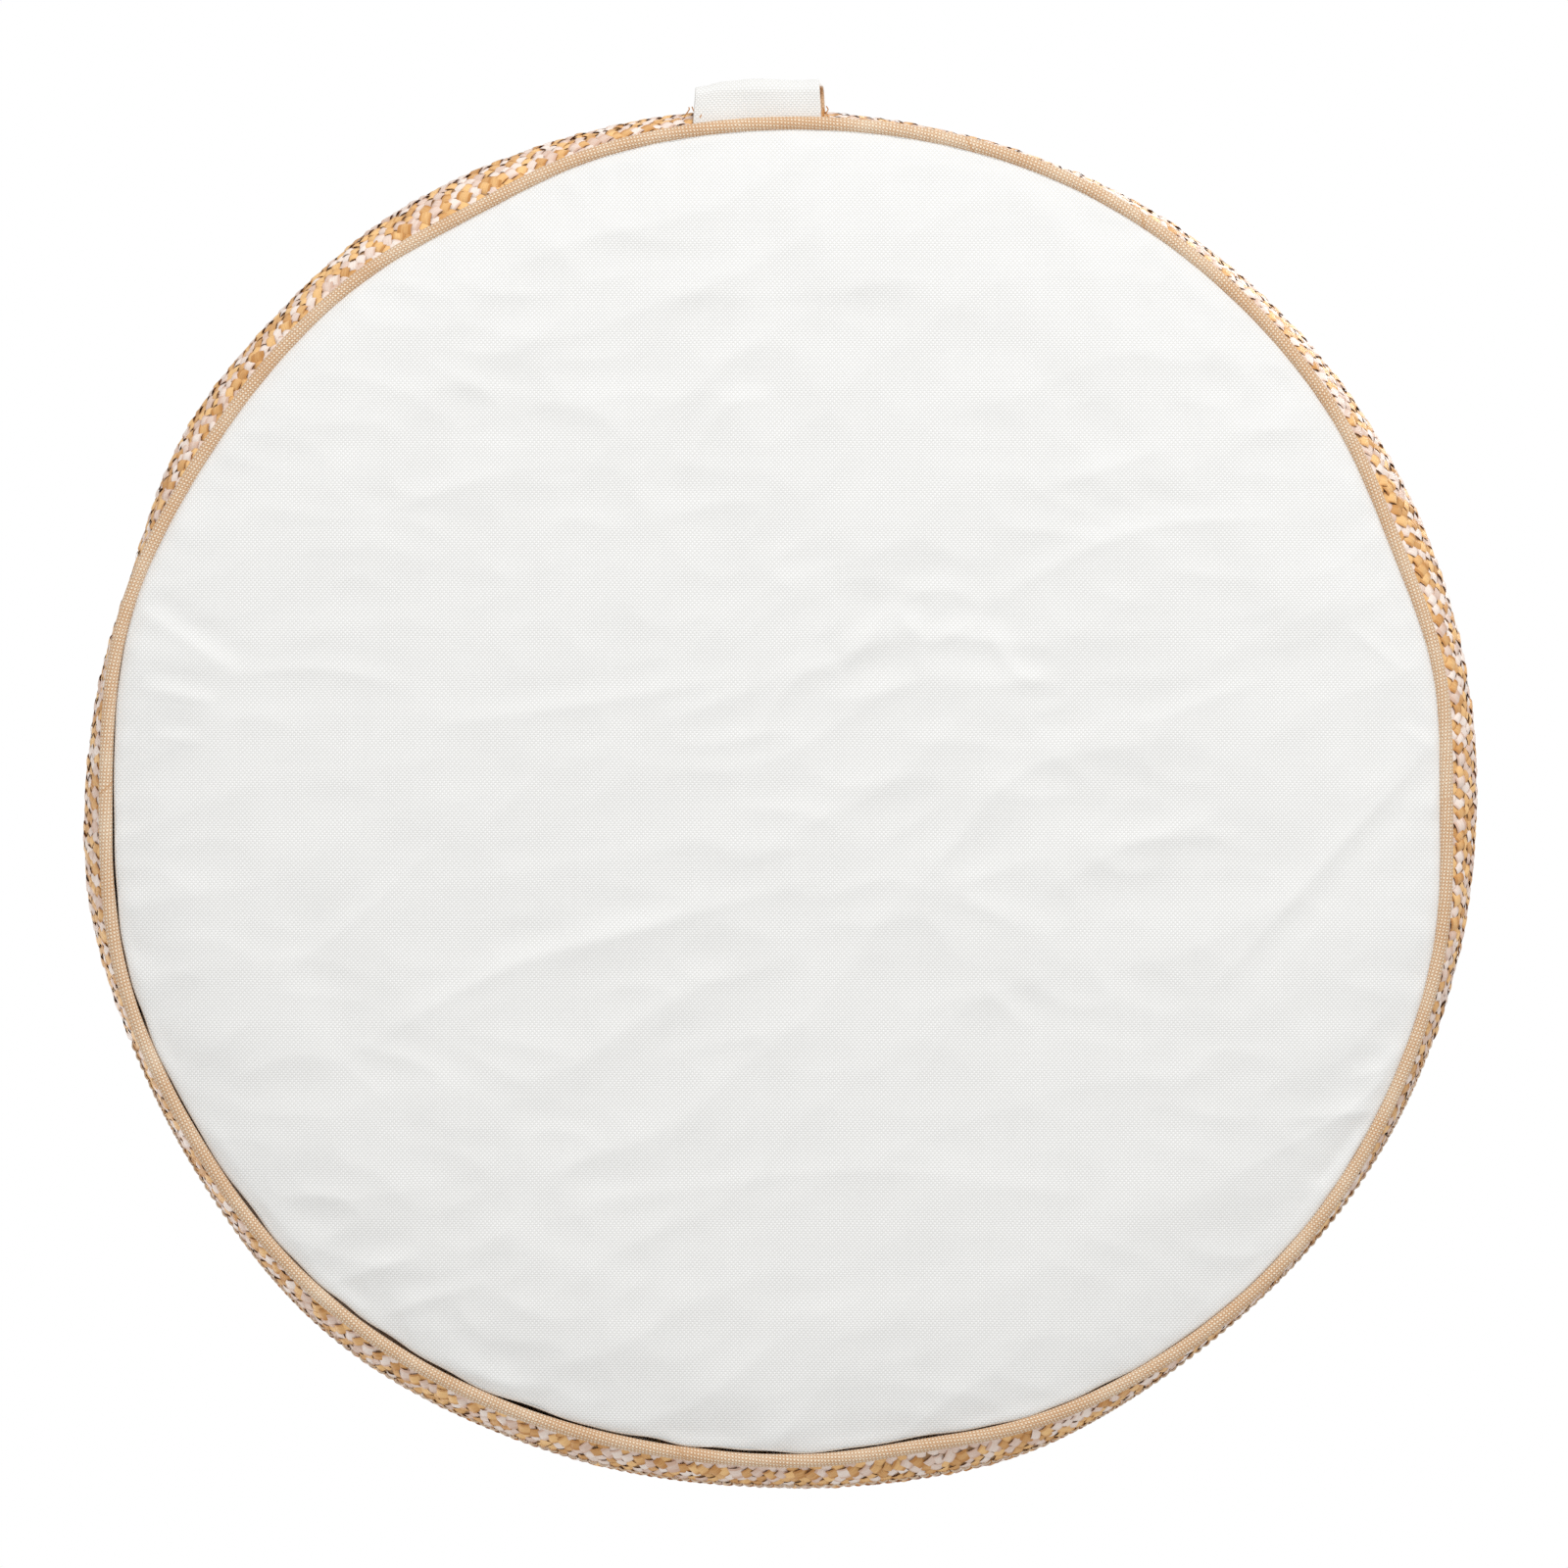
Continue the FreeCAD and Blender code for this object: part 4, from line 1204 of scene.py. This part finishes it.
def brass_paint(name):
    """Antique brass: worn metal, darker where tarnish lies, with small scratches."""
    paint, tree, shader = new_paint(name, 0.38, 1.0)
    place, axes = where(tree)
    tarnish = noise(tree, place, 900.0, 4.0)
    scratch = noise(tree, place, 1.0, 2.0, (9000.0, 600.0, 9000.0))
    amount = sums(tree, "MULTIPLY_ADD", scratch, 0.4, sums(tree, "SUBTRACT", tarnish, 0.2))
    worn = blend_colours(tree, amount, (0.20, 0.12, 0.055), (0.62, 0.43, 0.22))
    tree.links.new(worn, shader.inputs["Base Color"])
    raise_bumps(tree, shader, scratch, 0.00003)
    return paint


zip_cloth = tape_weave("zip_tape_weave")
nylon = nylon_paint("zip_nylon")
brass = brass_paint("antique_brass")
zip_angles = np.radians(np.linspace(zip_from - 1.6, zip_to + 1.6, 300))
for level, sign in (("lower", -1.0), ("upper", 1.0)):
    a, z = np.meshgrid(zip_angles, np.linspace(tape_inner_edge, tape_outer_edge, 10), indexing="ij")
    lay = np.stack([a * 0.195, z], axis=-1)
    tape_points = zip_wall(a, band_middle + sign * z, tape_face)
    tape = put_mesh(f"{level}_zip_tape", tape_points, sheet_faces(300, 10, flip=sign < 0), uv=lay)
    tape.data.materials.append(zip_cloth)
    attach(tape, "pad")
    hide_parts(f"zip_tape_{level}")

    turns = math.radians(coil_to - coil_from) * coil_line_radius / coil_pitch
    t = np.linspace(0, 1, int(turns * 9))
    spin = 2 * np.pi * turns * t + (0 if sign > 0 else np.pi)
    angle = np.radians(coil_from) + t * math.radians(coil_to - coil_from)
    r = coil_line_radius + coil_r * 0.75 * np.sin(spin)
    z = band_middle + sign * (0.0010 + coil_r * 0.85 * np.cos(spin) + 0.0004)
    coil_line = np.stack([r * np.cos(angle), r * np.sin(angle), z], axis=-1)
    coil = thread_piece(f"{level}_zip_coil", [coil_line], coil_wire, 6)
    coil.data.materials.append(nylon)
    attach(coil, "pad")
    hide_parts(f"zip_coil_{level}")

for name in ("zip_end_stops", "zip_slider", "zip_pull"):
    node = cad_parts[name]
    if not node.material_slots:
        node.data.materials.append(brass)
    for material_slot in node.material_slots:
        material_slot.material = brass


def dashes(place_of, start, end, count, share, lift):
    """A line of machine stitches: dashes along an arc, each rising from the cloth and diving back."""
    s = np.linspace(0, 1, 7)
    step = (end - start) / count
    angle = start + (np.arange(count)[:, None] + 0.5 * (1 - share) + share * s[None]) * step
    height = lift * np.sin(np.pi * s)[None] - lift * 0.35
    return place_of(angle, height + 0 * angle)


def thread_paint(name):
    """Spun polyester sewing thread."""
    paint, tree, shader = new_paint(name, 0.6)
    place, axes = where(tree)
    fibres = noise(tree, place, 2500.0, 2.0)
    tan = blend_colours(tree, fibres, (0.62, 0.45, 0.30), (0.86, 0.72, 0.56))
    tree.links.new(tan, shader.inputs["Base Color"])
    return paint


sewing = thread_paint("sewing_thread_fibre")
topstitch_z = 0.0074
stitch_lines = []
for sign in (-1.0, 1.0):
    stitch_lines.append(dashes(
        lambda angle, height: band_point(angle, sign * topstitch_z / band_half, -0.0001 - height)[0],
        math.radians(zip_from + 0.5), math.radians(zip_to - 0.5), 160, 0.82, 0.0005,
    ))
topstitch = thread_piece("zip_topstitches", np.concatenate(stitch_lines), 0.00028, 6)
topstitch.data.materials.append(sewing)
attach(topstitch, "pad")
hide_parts("zip_topstitching")


# Inside: the seam threads, and the insert that fills the pad, which is a block of foam in a polyester
# fibre wrap and a thin cotton case. None of it shows while the zip is closed.

for level in ("lower", "upper"):
    low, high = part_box(f"{level}_seam_thread")
    inner_z = (low[2] + high[2]) / 2
    thread_r = (high[0] - low[0]) / 2 - 0.0004
    seam_dashes = dashes(
        lambda angle, height: np.stack(
            [thread_r * np.cos(angle), thread_r * np.sin(angle), inner_z + height], axis=-1
        ),
        -math.pi, math.pi, 420, 0.85, 0.0004,
    )
    seam_row = thread_piece(f"{level}_seam_stitches", seam_dashes, 0.00022, 5)
    seam_row.data.materials.append(sewing)
    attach(seam_row, "pad")
    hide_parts(f"{level}_seam_thread")


def stuffed_round(name, node, shrink, count, seed):
    """A closed round block inside a CAD piece's box: an upper and a lower disc that share their rim.

    With s the share of the way out, r = a s and z = +-c (1 - s^12)^0.4, and a low ripple in mm from
    a few random waves lies over both faces.
    """
    low, high = (np.array(v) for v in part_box(node))
    wide = (high[0] - low[0]) / 2 - shrink
    deep = (high[2] - low[2]) / 2 - shrink
    middle = (high[2] + low[2]) / 2
    random = np.random.default_rng(seed)
    x, y = round_grid(count)
    share = np.clip(np.hypot(x, y), 0.0, 1.0)
    bulge = deep * (1 - share ** 12) ** 0.4
    ways = random.uniform(0, 2 * np.pi, (6, 2))
    hills = sum(np.sin((4 + k) * (x * np.cos(w) + y * np.sin(w)) * 3 + p) for k, (w, p) in enumerate(ways))
    ripple = 0.00012 * hills * smooth_step((0.9 - share) / 0.2)
    rim = np.zeros((count, count), dtype=bool)
    rim[[0, -1]] = True
    rim[:, [0, -1]] = True
    upper = np.stack([x * wide, y * wide, middle + bulge + ripple - 0.0008 * ~rim], axis=-1).reshape(-1, 3)
    lower = np.stack([x * wide, y * wide, middle - bulge + ripple + 0.0008 * ~rim], axis=-1).reshape(-1, 3)
    own = np.arange(count * count)
    shared = np.where(rim.ravel(), own, own + count * count)
    faces = np.vstack([sheet_faces(count, count), shared[sheet_faces(count, count, flip=True)]])
    used, faces = np.unique(faces, return_inverse=True)
    return put_mesh(name, np.vstack([upper, lower])[used], faces.reshape(-1, 4))


def plain_fibre(name, low, high, scale, depth):
    """Loose fibre or foam: fine grain between two tones, with bumps of the same grain."""
    paint, tree, shader = new_paint(name, 0.9)
    place, axes = where(tree)
    grain = noise(tree, place, scale, 4.0)
    tree.links.new(blend_colours(tree, grain, low, high), shader.inputs["Base Color"])
    raise_bumps(tree, shader, grain, depth)
    return paint


case_cloth = canvas_paint(
    "thin_cotton_case", None, (0.70, 0.69, 0.66), (0.90, 0.89, 0.87), 0.00045, 0.00045, 0.2, 0.00006
)
wadding = plain_fibre("polyester_wadding", (0.8, 0.8, 0.79), (0.95, 0.95, 0.94), 500.0, 0.0006)
foam = plain_fibre("foam_cells", (0.72, 0.62, 0.40), (0.90, 0.82, 0.60), 900.0, 0.0003)
for name, node, shrink, paint, slot_name, fill in (
    ("insert_case_cloth", "insert_case", 0.0024, case_cloth, "insert_cotton", 0.75),
    ("fibre_wrap_wadding", "fibre_wrap", 0.0030, wadding, "polyester_fibre", 0.6),
    ("foam_block", "foam_core", 0.0020, foam, "foam", 0.9),
):
    block = stuffed_round(name, node, shrink, 96, 41)
    block.data.materials.append(paint)
    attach(block, "pad")
    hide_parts(node)
